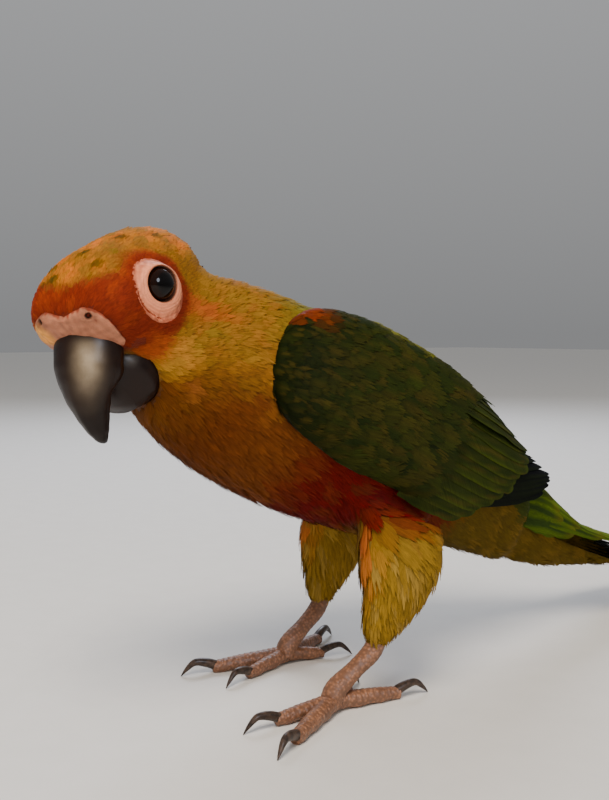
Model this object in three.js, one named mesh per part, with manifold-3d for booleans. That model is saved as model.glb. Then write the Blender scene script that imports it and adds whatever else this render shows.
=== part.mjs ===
import * as THREE from 'three';
import { mergeVertices } from 'three/addons/utils/BufferGeometryUtils.js';
import Module from 'manifold-3d';

// Sun conure, life size, standing still. Millimetres, +Z up, the bird faces -Y, its left is +X.

const wasm = await Module();
wasm.setup();

// Gap kept between neighbouring pieces
const GAP = 0.3;

// Trunk: stations from inside the head back to the root of the tail, in the middle plane.
// Each is y, z of the axis, half width, height above the axis, depth below it.
const TRUNK = [
  [-43, 87, 3, 5, 2],
  [-37, 83.5, 9.6, 14.8, 12],
  [-28, 79, 14.8, 19.8, 18.6],
  [-17, 74, 18, 22.4, 22.5],
  [-4, 68.5, 20.2, 23.8, 24.5],
  [13, 61, 20.8, 25.8, 24.5],
  [31, 53, 18.2, 24.8, 22],
  [49, 45, 14, 19.8, 18],
  [66, 38, 10.6, 14.8, 16.4],
  [82, 32.5, 8.6, 12, 16.6],
  [96, 28, 7.4, 9, 16],
  [110, 24, 5.4, 6, 13],
];
const TRUNK_RINGS = 28;
const TRUNK_SIDES = 22;

// Cuts through the whole trunk: how far along the axis from its front end
const NECK_FRONT_CUT = 17;
const NECK_BACK_CUT = 35;
const RUMP_CUT = 93;
const TAIL_CUT = 128;

// Outer face of the folded wings, as half width and half height about the trunk's axis
const WING_HULL = [
  [26, 19.5, 21.5],
  [36, 23, 25],
  [50, 25.2, 28],
  [64, 25.6, 29.6],
  [80, 23.8, 29],
  [98, 20, 25.6],
  [114, 16.4, 21],
  [130, 13.2, 16.4],
  [150, 10, 11.5],
];

// Head: centre of the cranium, its turn to the left, its bow and its lean
const HEAD_CENTRE = [0.1, -42.5, 88.4];
const HEAD_YAW = 34;
const HEAD_PITCH = 20;
const HEAD_ROLL = -6;
// Head stations from nape to face: y, z, half width, height above, depth below
const HEAD = [
  [22.5, -3, 8, 10, 9],
  [18, -1.5, 12, 14, 13],
  [9.5, 0, 14.5, 15, 16.5],
  [0, 0.5, 15, 14.4, 14.8],
  [-6, 1.8, 14.2, 13.4, 10.4],
  [-10.5, 3.4, 12.8, 12, 8],
  [-14, 5, 10.8, 9.2, 6],
  [-16.2, 6.2, 8, 6.2, 4],
  [-17.6, 6.8, 4.4, 3, 2.2],
];
const HEAD_JOWL = 0.55;
const HEAD_RINGS = 14;
const HEAD_SIDES = 20;

// Eye: centre on the head, radius of the ball, radius of the opening between the lids
const EYE_PLACE = [10.6, -1.8, 4.6];
const EYE_RADIUS = 4.3;
const EYE_AIM = [0.94, -0.32, 0.08];
const LID_OPENING = 3.6;
// Ring of the lids: radius, and depth below the top of the eyeball
const LID_PROFILE = [
  [0, 3],
  [6.4, 3],
  [6.4, 1.9],
  [4.5, 0.7],
  [3.9, 0.3],
  [0, 0.3],
];
const LID_SIDES = 16;
const EYE_BORE_DEPTH = 8;

// Upper bill: stations along the axis from the cere to the tip: y, z, half width, front, back
const BILL_UPPER = [
  [-7, 0, 6.4, 4.6, 6],
  [-11, -1.2, 6.9, 5.8, 6],
  [-14, -4.6, 6.9, 6.1, 5.6],
  [-15.9, -8.2, 6.4, 5.9, 4.6],
  [-17.2, -11.2, 4.9, 5.3, 3.1],
  [-17.8, -14.6, 3.3, 4.2, 2.3],
  [-17.9, -17.8, 2.2, 2.9, 1.7],
  [-17.6, -20.4, 1.2, 1.6, 1],
  [-17.3, -21.6, 0.5, 0.5, 0.5],
];
const BILL_LOWER = [
  [8, -6, 6, 3, 4],
  [3.6, -9, 8.5, 6, 6],
  [-1.6, -12, 8.8, 7.4, 6.2],
  [-6.6, -14.8, 7.8, 8, 4.8],
  [-10.6, -16.6, 4.4, 6, 2.6],
];
const BILL_SHOULDER = 0.5;
// Rings and sides of the two halves of the bill
const UPPER_MESH = [11, 16];
const LOWER_MESH = [7, 16];
// Cere: the bare skin that carries the nostrils, its centre, its half sizes, the nostrils' place
const CERE_CENTRE = [0, -13, 2.6];
const CERE_HALF = [8.2, 4.9, 3.3];
const NOSTRIL_PLACE = [4.6, -17.4, 4.3];
const NOSTRIL_RADIUS = 0.75;
const NOSTRIL_STRETCH = 1.6;
// Cheek: the swelling behind the bill that leads into the neck, its centre and half sizes
const CHEEK_CENTRE = [3.4, 8.4, -5.4];
const CHEEK_HALF = [12.8, 12, 13.4];

// Legs: left foot's joint at (x, y), and how each foot differs
const LEGS = {
  left: { foot: [17, 0], turn: 13 },
  right: { foot: [-15, 9], turn: 4 },
};
// Feathered thigh and ankle, from the foot's joint: x outward, y, z, half width, back, front
const THIGH = [
  [-7, 18, 50, 4.5, 8, 8],
  [-1.5, 17.5, 45, 5.5, 12, 10],
  [1.5, 17, 38.5, 7.4, 14.5, 11],
  [2.5, 16.5, 31, 7.2, 13, 10.4],
  [2.4, 15, 24, 5.8, 8.6, 8.2],
  [1.6, 12.4, 17.5, 4, 5, 5.4],
  [1, 10.6, 12.5, 2.6, 2.8, 3],
];
const ANKLE = [1, 10.4, 12];
// Toe name, direction from straight ahead towards the outer side, reach, radius
const TOES = [
  ['inner_front', -14, 15, 1.8],
  ['outer_front', 17, 19.5, 2],
  ['inner_back', 200, 10, 1.7],
  ['outer_back', 158, 17, 1.9],
];
// Axis of a toe: share of its reach and height; of a claw: how far past the toe, height, radius share
const TOE_AXIS = [
  [0.5, 1.5],
  [1, 1.2],
];
const TOE_START = [1.4, 1.5];
const TOE_TAPER = [1, 0.95, 0.85];
const CLAW_AXIS = [
  [-0.8, 1.8],
  [4, 2.8],
  [8, 0],
];
const CLAW_TAPER = [0.6, 0.45];
const CLAW_TIP = 0.35;
// Shank below the ankle: height, set back, radius
const SHANK = [
  [8.4, 0.6, 2.1],
  [4.4, 0.6, 2.6],
  [1.6, -0.6, 2.8],
];
const ANKLE_RADIUS = 2.3;
// Rings and sides of the legs' parts
const THIGH_MESH = [12, 16];
const SHANK_MESH = [8, 10];
const TOE_MESH = [5, 8];
const CLAW_MESH = [5, 6];

// Tail: length past the trunk, droop in degrees at its root and its tip
const TAIL_LENGTH = 116;
const TAIL_DROOP = [25, 5];
// Tail feathers, inner pair first: length, distance of the shaft from the middle, half width, level
const RECTRICES = [
  [116, 1.4, 4.4, 0],
  [108, 4.6, 4.1, 2],
  [98, 5.2, 4.2, 3],
  [87, 5.8, 4.2, 4],
  [75, 6.4, 4.2, 5],
  [62, 7, 4, 6],
];
const TAIL_TOP = 2.4;
const TAIL_SLOPE = 0.1;
const TAIL_STEPS = 24;
const RECTRIX_ROOT = 3;
// Root of the tail: distance, half width, height above, depth below
const TAIL_ROOT = [
  [0, 0, 0, 0],
  [6, 7.2, 9, 14.6],
  [13, 7, 7, 13.8],
  [21, 6.4, 4.6, 12.2],
  [30, 5.6, 2, 10],
  [40, 4.4, -0.6, 7.4],
  [50, 2.8, -2, 5],
];
// Upper and lower tail coverts: root and tip as distance and place across, half width, lifts
const TAIL_COVERTS = [
  [[8, 0], [44, 0], 4, [8.2, 3.9]],
  [[8, 3], [35, 5.2], 3.8, [7, 4.1]],
  [[18, 0], [64, 0], 4.2, [-12, -5.4]],
  [[12, 2.8], [52, 4.8], 3.8, [-12, -7]],
];

// Vanes of flight feathers and coverts: thickness, tip, height step to the next, raised shaft
const VANE_THICK = 0.5;
const TIP_THICK = 0.3;
const VANE_STEP = 0.85;
const SHAFT_RIDGE = 0.08;

// Body of the folded wing under its coverts: distance along, low edge, high edge, lift
const WING_BODY = [
  [29, 4, 9, -0.4],
  [31, -2, 16, -0.2],
  [36, -7, 23.5, 0],
  [45, -10, 29, 0],
  [54, -11.5, 32, -0.5],
  [60, -11.5, 33, -1.6],
  [68, -11.5, 33, -2.1],
  [78, -10.5, 31.5, -2.4],
  [85, -9, 28, -3.4],
  [90, -6, 23, -4.2],
];
const WING_BODY_RINGS = 11;
const WING_BODY_COLUMNS = 7;
const WING_DEPTH = 5.4;
const EDGE_ROUNDING = 1.3;
// Room kept free round the wing: distance along, low edge, high edge
const WING_ROOM = [
  [28, 2, 10],
  [31, -4, 17],
  [36, -9, 25],
  [58, -14, 35],
  [86, -15, 35],
  [104, -14, 31],
  [122, -9, 25],
  [136, -2, 19],
];
const ROOM_LIFTS = [0.7, -6.4];
const ROOM_ROWS = 16;
const ROOM_COLUMNS = 8;
const ROOM_MIDDLE = [8, -3];

// Outline of a blade: place along it, share of its half width, thickness
const TAIL_BLADE = [
  [0, 0.7, VANE_THICK],
  [0.25, 0.9, VANE_THICK],
  [0.5, 1, VANE_THICK],
  [0.75, 0.94, VANE_THICK],
  [0.93, 0.68, VANE_THICK],
  [1, 0.3, TIP_THICK],
];
const LONG_BLADE = [
  [0, 0.75, VANE_THICK],
  [0.35, 1, VANE_THICK],
  [0.7, 1, VANE_THICK],
  [0.91, 0.8, VANE_THICK],
  [1, 0.34, TIP_THICK],
];
const SHORT_BLADE = [
  [0, 0.8, VANE_THICK],
  [0.5, 1, VANE_THICK],
  [0.84, 0.84, VANE_THICK],
  [1, 0.36, TIP_THICK],
];

// Tiers of the wing from below upwards. line: share of the tier, root along and across, tip along
// and across. lift: distance along and height of the vanes' middle. overlap: half width in pitches
const WING_TIERS = [
  {
    count: 6,
    rows: LONG_BLADE,
    overlap: 0.85,
    jitter: 0.8,
    line: [[0, 81, -9, 128, 8.8], [0.5, 82, -2, 133, 13.4], [1, 83, 6, 126, 19.4]],
    lift: [[80, -4.4], [92, -4], [104, -3.5], [116, -2.4], [124, -1.4], [134, -0.9]],
  },
  {
    count: 7,
    rows: LONG_BLADE,
    overlap: 0.85,
    jitter: 0.8,
    line: [
      [0, 72, -9.6, 95, -8.6],
      [0.33, 74, -1.6, 107, -0.6],
      [0.67, 75, 7, 115, 7],
      [1, 77, 17, 121, 15.4],
    ],
    lift: [[71, -3.2], [84, -2.6], [98, -1.8], [110, -0.9], [124, -0.7]],
  },
  {
    count: 4,
    rows: LONG_BLADE,
    overlap: 0.85,
    jitter: 0.8,
    line: [[0, 73, 20.4, 121, 19], [1, 68, 31.5, 108, 27.4]],
    lift: [[66, -2.7], [76, -2.6], [86, -1.9], [100, -1], [122, -0.7]],
  },
  {
    count: 7,
    rows: SHORT_BLADE,
    overlap: 0.8,
    jitter: 0.8,
    line: [[0, 60, -9.4, 77, -10.4], [0.5, 61, 8, 82, 8.6], [1, 62, 26, 86, 27]],
    lift: [[60, -2], [70, -1.4], [78, -0.8], [88, -0.5]],
  },
  {
    count: 7,
    rows: SHORT_BLADE,
    overlap: 0.8,
    jitter: 0.8,
    line: [[0, 49, -8.8, 64, -10], [0.5, 49, 8, 69, 8.6], [1, 49, 25.6, 69, 27.6]],
    lift: [[48, -1.4], [56, -1], [64, -0.4], [70, -0.3]],
  },
];

const degrees = THREE.MathUtils.degToRad;

// Solids

function toSolid(geometry) {
  const bare = geometry.clone();
  bare.deleteAttribute('normal');
  bare.deleteAttribute('uv');
  const merged = mergeVertices(bare, 1e-4);
  const vertProperties = new Float32Array(merged.getAttribute('position').array);
  const triVerts = new Uint32Array(merged.getIndex().array);
  return new wasm.Manifold(new wasm.Mesh({ numProp: 3, vertProperties, triVerts }));
}

function largest(solid) {
  const pieces = solid.decompose();
  pieces.sort((a, b) => b.volume() - a.volume());
  return pieces[0];
}

function toGeometry(solid) {
  const mesh = solid.getMesh();
  const geometry = new THREE.BufferGeometry();
  const points = new Float32Array(mesh.numVert * 3);
  for (let i = 0; i < mesh.numVert; i += 1) {
    points.set(mesh.vertProperties.slice(i * mesh.numProp, i * mesh.numProp + 3), i * 3);
  }
  geometry.setAttribute('position', new THREE.BufferAttribute(points, 3));
  geometry.setIndex(new THREE.BufferAttribute(new Uint32Array(mesh.triVerts), 1));
  geometry.computeVertexNormals();
  return geometry;
}

// A smooth table: rows of numbers read at any place along them
function smoothTable(rows, keys) {
  const last = rows.length - 1;
  return (at) => {
    const x = THREE.MathUtils.clamp(at, keys[0], keys[last]);
    let i = 0;
    while (i < last - 1 && keys[i + 1] < x) i += 1;
    const span = keys[i + 1] - keys[i];
    const f = (x - keys[i]) / span;
    return rows[i].map((value, c) => {
      const after = rows[i + 1][c];
      const slope = (j) => {
        const lo = Math.max(j - 1, 0);
        const hi = Math.min(j + 1, last);
        return (rows[hi][c] - rows[lo][c]) / (keys[hi] - keys[lo]);
      };
      const f2 = f * f;
      const f3 = f2 * f;
      return (2 * f3 - 3 * f2 + 1) * value + (f3 - 2 * f2 + f) * span * slope(i)
        + (3 * f2 - 2 * f3) * after + (f3 - f2) * span * slope(i + 1);
    });
  };
}

// Closed body through rings of points, with a single point at each end
function skinRings(rings, first, last) {
  const sides = rings[0].length;
  const points = [first, ...rings.flat(), last];
  const index = [];
  const at = (r, s) => 1 + r * sides + ((s + sides) % sides);
  for (let s = 0; s < sides; s += 1) {
    index.push(0, at(0, s + 1), at(0, s));
    for (let r = 0; r < rings.length - 1; r += 1) {
      index.push(at(r, s), at(r, s + 1), at(r + 1, s + 1));
      index.push(at(r, s), at(r + 1, s + 1), at(r + 1, s));
    }
    index.push(points.length - 1, at(rings.length - 1, s), at(rings.length - 1, s + 1));
  }
  const geometry = new THREE.BufferGeometry();
  const places = new Float32Array(points.flatMap((p) => [p.x, p.y, p.z]));
  geometry.setAttribute('position', new THREE.BufferAttribute(places, 3));
  geometry.setIndex(windOutwards(points, index));
  return toSolid(geometry);
}

// Triangles turned so that their faces point out of the body
function windOutwards(points, index) {
  let volume = 0;
  const cross = new THREE.Vector3();
  for (let i = 0; i < index.length; i += 3) {
    cross.crossVectors(points[index[i + 1]], points[index[i + 2]]);
    volume += points[index[i]].dot(cross);
  }
  if (volume > 0) return index;
  return index.map((value, i) => index[3 * Math.floor(i / 3) + 2 - (i % 3)]);
}

// Axis with a frame and an egg-shaped section at every distance along it
function makeAxis(rows, toPoint, sideAxis) {
  const curve = new THREE.CatmullRomCurve3(rows.map(toPoint), false, 'centripetal');
  curve.arcLengthDivisions = 400;
  const total = curve.getLength();
  const lengths = curve.getLengths(400);
  const keys = rows.map((row, i) => lengths[Math.round((400 * i) / (rows.length - 1))]);
  const size = smoothTable(rows.map((row) => row.slice(-3)), keys);
  return {
    total,
    keys,
    frame(distance) {
      const u = THREE.MathUtils.clamp(distance / total, 0, 1);
      const centre = curve.getPointAt(u);
      const along = curve.getTangentAt(u);
      const up = new THREE.Vector3().crossVectors(sideAxis, along).normalize();
      const side = new THREE.Vector3().crossVectors(along, up).normalize();
      const [half, above, below] = size(distance);
      return { centre, along, up, side, half, above, below };
    },
  };
}

// Body along an axis, grown by extra all round; a jowl power below 1 fills its lower flanks, and
// a shoulder power its upper ones
function loft(axis, rings, sides, extra = 0, jowl = 1, shoulder = 1) {
  const rows = [];
  for (let r = 0; r < rings; r += 1) {
    const spread = 0.5 - 0.5 * Math.cos((Math.PI * (r + 0.5)) / rings);
    const u = THREE.MathUtils.lerp((r + 0.5) / rings, spread, 0.35);
    const f = axis.frame(u * axis.total);
    const row = [];
    for (let s = 0; s < sides; s += 1) {
      const angle = (2 * Math.PI * s) / sides;
      const d = Math.sin(angle);
      const power = d < 0 ? jowl : shoulder;
      const c = Math.sign(Math.cos(angle)) * Math.abs(Math.cos(angle)) ** power;
      const wide = c * (f.half + extra);
      const tall = d * ((d > 0 ? f.above : f.below) + extra);
      row.push(f.centre.clone().addScaledVector(f.side, wide).addScaledVector(f.up, tall));
    }
    rows.push(row);
  }
  const start = axis.frame(0);
  const end = axis.frame(axis.total);
  const cap = 0.25 + extra;
  return skinRings(
    rows,
    start.centre.addScaledVector(start.along, -cap),
    end.centre.addScaledVector(end.along, cap),
  );
}

// Side directions: for an axis that runs back, and for one that runs forward
const RIGHT_TO_LEFT = new THREE.Vector3(1, 0, 0);
const LEFT_TO_RIGHT = new THREE.Vector3(-1, 0, 0);
const trunkAxis = makeAxis(TRUNK, ([y, z]) => new THREE.Vector3(0, y, z), RIGHT_TO_LEFT);
const headAxis = makeAxis(HEAD, ([y, z]) => new THREE.Vector3(0, y, z), LEFT_TO_RIGHT);

// Head frame
const headTurn = new THREE.Matrix4().makeRotationZ(degrees(HEAD_YAW))
  .multiply(new THREE.Matrix4().makeRotationX(degrees(HEAD_PITCH)))
  .multiply(new THREE.Matrix4().makeRotationY(degrees(HEAD_ROLL)));
const headPlace = new THREE.Matrix4().makeTranslation(...HEAD_CENTRE).multiply(headTurn);

function moved(solid, matrix) {
  return solid.transform(matrix.elements);
}

function slabAcross(distance, thickness) {
  const f = trunkAxis.frame(distance);
  const slab = new THREE.BoxGeometry(200, 200, thickness);
  slab.applyQuaternion(new THREE.Quaternion().setFromUnitVectors(new THREE.Vector3(0, 0, 1), f.along));
  slab.translate(f.centre.x, f.centre.y, f.centre.z);
  return toSolid(slab);
}

function eyeFrame(side) {
  const aim = new THREE.Vector3(side * EYE_AIM[0], EYE_AIM[1], EYE_AIM[2]).normalize();
  const centre = new THREE.Vector3(side * EYE_PLACE[0], EYE_PLACE[1], EYE_PLACE[2]);
  return { aim, centre };
}

function ballAt(centre, radius, wide = 14, tall = 9) {
  const ball = new THREE.SphereGeometry(radius, wide, tall);
  ball.translate(centre.x, centre.y, centre.z);
  return toSolid(ball);
}

// Bare ring round the eye with the raised rim of the lids
function lidRing(side) {
  const { aim, centre } = eyeFrame(side);
  const profile = LID_PROFILE.map(([r, depth]) => new THREE.Vector2(r, EYE_RADIUS - depth));
  const ring = new THREE.LatheGeometry(profile, LID_SIDES);
  ring.applyQuaternion(new THREE.Quaternion().setFromUnitVectors(new THREE.Vector3(0, 1, 0), aim));
  ring.translate(centre.x, centre.y, centre.z);
  return toSolid(ring);
}

function eyeOpening(side) {
  const { aim, centre } = eyeFrame(side);
  const bore = new THREE.CylinderGeometry(LID_OPENING, LID_OPENING, EYE_BORE_DEPTH, LID_SIDES);
  bore.translate(0, EYE_BORE_DEPTH / 2, 0);
  bore.applyQuaternion(new THREE.Quaternion().setFromUnitVectors(new THREE.Vector3(0, 1, 0), aim));
  bore.translate(centre.x, centre.y, centre.z);
  return toSolid(bore).add(ballAt(centre, EYE_RADIUS + GAP));
}

const billUpperAxis = makeAxis(BILL_UPPER, ([y, z]) => new THREE.Vector3(0, y, z), LEFT_TO_RIGHT);
const billLowerAxis = makeAxis(BILL_LOWER, ([y, z]) => new THREE.Vector3(0, y, z), LEFT_TO_RIGHT);

const billUpperLocal = loft(billUpperAxis, ...UPPER_MESH);
const billUpperGrown = loft(billUpperAxis, ...UPPER_MESH, GAP);
const billLowerLocal = loft(billLowerAxis, ...LOWER_MESH, 0, 1, BILL_SHOULDER);
const billLowerGrown = loft(billLowerAxis, ...LOWER_MESH, GAP, 1, BILL_SHOULDER);

const trunkWhole = loft(trunkAxis, TRUNK_RINGS, TRUNK_SIDES);
const trunkGrown = loft(trunkAxis, TRUNK_RINGS, TRUNK_SIDES, GAP);

function eggAt([x, y, z], halves) {
  const egg = new THREE.SphereGeometry(1, 12, 7);
  egg.scale(...halves);
  egg.translate(x, y, z);
  return toSolid(egg);
}

let headLocal = loft(headAxis, HEAD_RINGS, HEAD_SIDES, 0, HEAD_JOWL).add(eggAt(CERE_CENTRE, CERE_HALF));
for (const side of [1, -1]) {
  headLocal = headLocal.add(eggAt([side * CHEEK_CENTRE[0], CHEEK_CENTRE[1], CHEEK_CENTRE[2]], CHEEK_HALF));
  headLocal = headLocal.add(lidRing(side));
  const nostril = new THREE.SphereGeometry(NOSTRIL_RADIUS, 8, 6);
  nostril.scale(1, NOSTRIL_STRETCH, 1);
  nostril.translate(side * NOSTRIL_PLACE[0], NOSTRIL_PLACE[1], NOSTRIL_PLACE[2]);
  headLocal = headLocal.subtract(toSolid(nostril));
}

// Whole of head, neck and trunk, then its cuts
let whole = trunkWhole.add(moved(headLocal, headPlace));
whole = whole.subtract(moved(eyeOpening(1), headPlace)).subtract(moved(eyeOpening(-1), headPlace));
whole = whole.subtract(moved(billUpperGrown, headPlace)).subtract(moved(billLowerGrown, headPlace));
for (const cut of [NECK_FRONT_CUT, NECK_BACK_CUT, RUMP_CUT, TAIL_CUT]) {
  whole = whole.subtract(slabAcross(cut, GAP));
}
const pieces = whole.decompose().filter((piece) => piece.volume() > 50);
pieces.sort((a, b) => a.boundingBox().min[1] - b.boundingBox().min[1]);
const [headSolid, neckSolid, torsoSolid, rumpSolid] = pieces;

const upperSolid = largest(moved(billUpperLocal, headPlace));
const lowerSolid = largest(moved(billLowerLocal.subtract(billUpperGrown), headPlace));

// Wing hull

const hullSize = smoothTable(WING_HULL.map((row) => row.slice(1)), WING_HULL.map((row) => row[0]));

// Point on the outer face of the folded wing: distance along the axis, and arc above the flank
function wingPoint(along, across, lift, side) {
  const f = trunkAxis.frame(along);
  const [half, tall] = hullSize(along);
  const angle = across / (0.5 * (half + tall));
  const c = Math.cos(angle);
  const s = Math.sin(angle);
  const normal = f.side.clone().multiplyScalar(c / half).addScaledVector(f.up, s / tall).normalize();
  const point = f.centre.clone().addScaledVector(f.side, c * half).addScaledVector(f.up, s * tall);
  point.addScaledVector(normal, lift);
  point.x *= side;
  return point;
}

// Thin blade with a shaft line: place(u, c, h) gives a point at u of its length, c of its
// half width and height h; both faces are split alike
function blade(rows, place) {
  const points = [];
  for (const [u, wide, thick] of rows) {
    for (const face of [0.5, -0.5]) {
      for (const c of [-1, 0, 1]) points.push(place(u, c * wide, face * thick));
    }
  }
  const index = [];
  const quad = (a, b, c, d) => index.push(a, b, c, a, c, d);
  const at = (r, face, c) => r * 6 + face * 3 + c;
  for (let r = 0; r < rows.length - 1; r += 1) {
    for (const c of [0, 1]) {
      quad(at(r, 0, c), at(r, 0, c + 1), at(r + 1, 0, c + 1), at(r + 1, 0, c));
      index.push(at(r, 1, c), at(r + 1, 1, c + 1), at(r, 1, c + 1));
      index.push(at(r, 1, c), at(r + 1, 1, c), at(r + 1, 1, c + 1));
    }
    quad(at(r, 0, 0), at(r + 1, 0, 0), at(r + 1, 1, 0), at(r, 1, 0));
    quad(at(r, 0, 2), at(r, 1, 2), at(r + 1, 1, 2), at(r + 1, 0, 2));
  }
  const end = rows.length - 1;
  for (const c of [0, 1]) {
    quad(at(0, 0, c), at(0, 1, c), at(0, 1, c + 1), at(0, 0, c + 1));
    quad(at(end, 0, c), at(end, 0, c + 1), at(end, 1, c + 1), at(end, 1, c));
  }
  const geometry = new THREE.BufferGeometry();
  const places = new Float32Array(points.flatMap((p) => [p.x, p.y, p.z]));
  geometry.setAttribute('position', new THREE.BufferAttribute(places, 3));
  geometry.setIndex(windOutwards(points, index));
  return toSolid(geometry);
}

// Folded wing: an inner body under the coverts, then tiers of vanes that rise from it
function wingBody(side) {
  const first = WING_BODY[0];
  const last = WING_BODY[WING_BODY.length - 1];
  const shape = smoothTable(WING_BODY.map((row) => row.slice(1)), WING_BODY.map((row) => row[0]));
  const rings = [];
  for (let r = 0; r < WING_BODY_RINGS; r += 1) {
    const along = THREE.MathUtils.lerp(first[0], last[0], (r + 0.5) / WING_BODY_RINGS);
    const [low, high, lift] = shape(along);
    const ring = [];
    for (let c = 0; c <= WING_BODY_COLUMNS; c += 1) {
      const v = c / WING_BODY_COLUMNS;
      const rounding = EDGE_ROUNDING * (2 * v - 1) ** 6;
      ring.push(wingPoint(along, THREE.MathUtils.lerp(low, high, v), lift - rounding, side));
    }
    for (let c = WING_BODY_COLUMNS; c >= 0; c -= 1) {
      const v = c / WING_BODY_COLUMNS;
      ring.push(wingPoint(along, THREE.MathUtils.lerp(low, high, v), -WING_DEPTH, side));
    }
    rings.push(ring);
  }
  const middle = (row, lift) => wingPoint(row[0], (row[1] + row[2]) / 2, lift, side);
  return skinRings(rings, middle(first, first[3] - 2), middle(last, (last[3] - WING_DEPTH) / 2));
}

// Tier of vanes side by side: each lies a step higher than its lower neighbour
function wingTier(tier, side, random) {
  const baseLift = smoothTable(tier.lift.map((row) => row.slice(1)), tier.lift.map((row) => row[0]));
  const across = smoothTable(tier.line.map((row) => row.slice(1)), tier.line.map((row) => row[0]));
  const vanes = [];
  for (let i = 0; i < tier.count; i += 1) {
    const f = i / (tier.count - 1);
    const [rootAlong, rootAcross, tipAlong, tipAcross] = across(f);
    const [, rootNext, , tipNext] = across(f + (f < 1 ? 1 : -1) / (tier.count - 1));
    const rootPitch = Math.abs(rootNext - rootAcross);
    const tipPitch = Math.abs(tipNext - tipAcross);
    const reach = tipAlong + (random() - 0.5) * tier.jitter - rootAlong;
    vanes.push(blade(tier.rows, (u, c, h) => {
      const along = rootAlong + reach * u;
      const pitch = THREE.MathUtils.lerp(rootPitch, tipPitch, u);
      const offset = c * pitch * tier.overlap;
      const ridge = c === 0 ? SHAFT_RIDGE : 0;
      const lift = baseLift(along)[0] - (VANE_STEP * offset) / pitch + ridge + h;
      return wingPoint(along, THREE.MathUtils.lerp(rootAcross, tipAcross, u) + offset, lift, side);
    }));
  }
  return vanes;
}

// Seeded random numbers from 0 to 1
function randomFrom(seed) {
  let state = seed;
  return () => {
    state = (Math.imul(state, 1664525) + 1013904223) >>> 0;
    return state / 2 ** 32;
  };
}

function featheredWing(side) {
  const random = randomFrom(side > 0 ? 11 : 29);
  let wing = wingBody(side);
  for (const tier of WING_TIERS) {
    for (const vane of wingTier(tier, side, random)) wing = wing.add(vane);
  }
  return wing;
}

// Room the folded wing takes, kept free by the thigh
function wingRoom(side) {
  const rings = [];
  const edges = smoothTable(WING_ROOM.map((row) => row.slice(1)), WING_ROOM.map((row) => row[0]));
  const from = WING_ROOM[0][0];
  const to = WING_ROOM[WING_ROOM.length - 1][0];
  for (let r = 0; r < ROOM_ROWS; r += 1) {
    const along = THREE.MathUtils.lerp(from, to, r / (ROOM_ROWS - 1));
    const [low, high] = edges(along);
    const ring = [];
    for (const lift of ROOM_LIFTS) {
      for (let c = 0; c <= ROOM_COLUMNS; c += 1) {
        const v = lift > 0 ? c / ROOM_COLUMNS : 1 - c / ROOM_COLUMNS;
        ring.push(wingPoint(along, THREE.MathUtils.lerp(low, high, v), lift, side));
      }
    }
    rings.push(ring);
  }
  const middle = (along) => wingPoint(along, ...ROOM_MIDDLE, side);
  return skinRings(rings, middle(from), middle(to));
}

// Tail

function tailPoint(distance, across, lift) {
  const start = trunkAxis.frame(TAIL_CUT + GAP / 2);
  const from = degrees(TAIL_DROOP[0]);
  const change = degrees(TAIL_DROOP[1]) - from;
  const u = distance / TAIL_LENGTH;
  const point = start.centre.clone();
  for (let i = 0; i < TAIL_STEPS; i += 1) {
    const angle = from + change * ((u * (i + 0.5)) / TAIL_STEPS);
    point.y += (Math.cos(angle) * distance) / TAIL_STEPS;
    point.z -= (Math.sin(angle) * distance) / TAIL_STEPS;
  }
  const angle = from + change * u;
  point.y += Math.sin(angle) * lift;
  point.z += Math.cos(angle) * lift;
  point.x += across;
  return point;
}

// Root of the tail: from the cut face of the rump down to a thin end under the vanes
function tailRoot() {
  const start = trunkAxis.frame(TAIL_CUT + GAP / 2);
  const rings = TAIL_ROOT.map(([distance, half, above, below]) => {
    const ring = [];
    for (let s = 0; s < TRUNK_SIDES; s += 1) {
      const angle = (2 * Math.PI * s) / TRUNK_SIDES;
      const c = Math.cos(angle);
      const d = Math.sin(angle);
      if (distance === 0) {
        const tall = d > 0 ? start.above : start.below;
        ring.push(start.centre.clone().addScaledVector(start.side, c * start.half)
          .addScaledVector(start.up, d * tall));
      } else {
        ring.push(tailPoint(distance, c * half, d * (d > 0 ? above : below)));
      }
    }
    return ring;
  });
  const end = TAIL_ROOT[TAIL_ROOT.length - 1];
  return skinRings(rings, start.centre.clone(), tailPoint(end[0] + 1, 0, (end[2] - end[3]) / 2));
}

// One tail vane: root and tip as distance and place across, half width, lift at root and tip
function tailVane(rows, root, tip, half, lifts, slope) {
  return blade(rows, (u, c, h) => {
    const distance = THREE.MathUtils.lerp(root[0], tip[0], u);
    const x = THREE.MathUtils.lerp(root[1], tip[1], u) + c * half;
    const ridge = c === 0 ? SHAFT_RIDGE : 0;
    const lift = THREE.MathUtils.lerp(lifts[0], lifts[1], u) - slope * Math.abs(x) + ridge + h;
    return tailPoint(distance, x, lift);
  });
}

function featheredTail() {
  const random = randomFrom(5);
  let tail = tailRoot();
  RECTRICES.forEach(([length, centre, half, level], j) => {
    for (const side of [1, -1]) {
      const lower = j === 0 && side < 0 ? VANE_STEP : 0;
      const lift = TAIL_TOP - level * VANE_STEP - lower;
      const tip = [length + (random() - 0.5) * 2, side * centre];
      const root = [RECTRIX_ROOT, (side * centre) / 2];
      tail = tail.add(tailVane(TAIL_BLADE, root, tip, half, [lift, lift], TAIL_SLOPE));
    }
  });
  for (const [root, tip, half, lifts] of TAIL_COVERTS) {
    for (const side of root[1] === 0 ? [1] : [1, -1]) {
      const from = [root[0], side * root[1]];
      const to = [tip[0] + (random() - 0.5) * 2, side * tip[1]];
      const slope = lifts[0] > 0 ? TAIL_SLOPE : -TAIL_SLOPE;
      tail = tail.add(tailVane(SHORT_BLADE, from, to, half, lifts, slope));
    }
  }
  return tail;
}

// Legs

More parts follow.
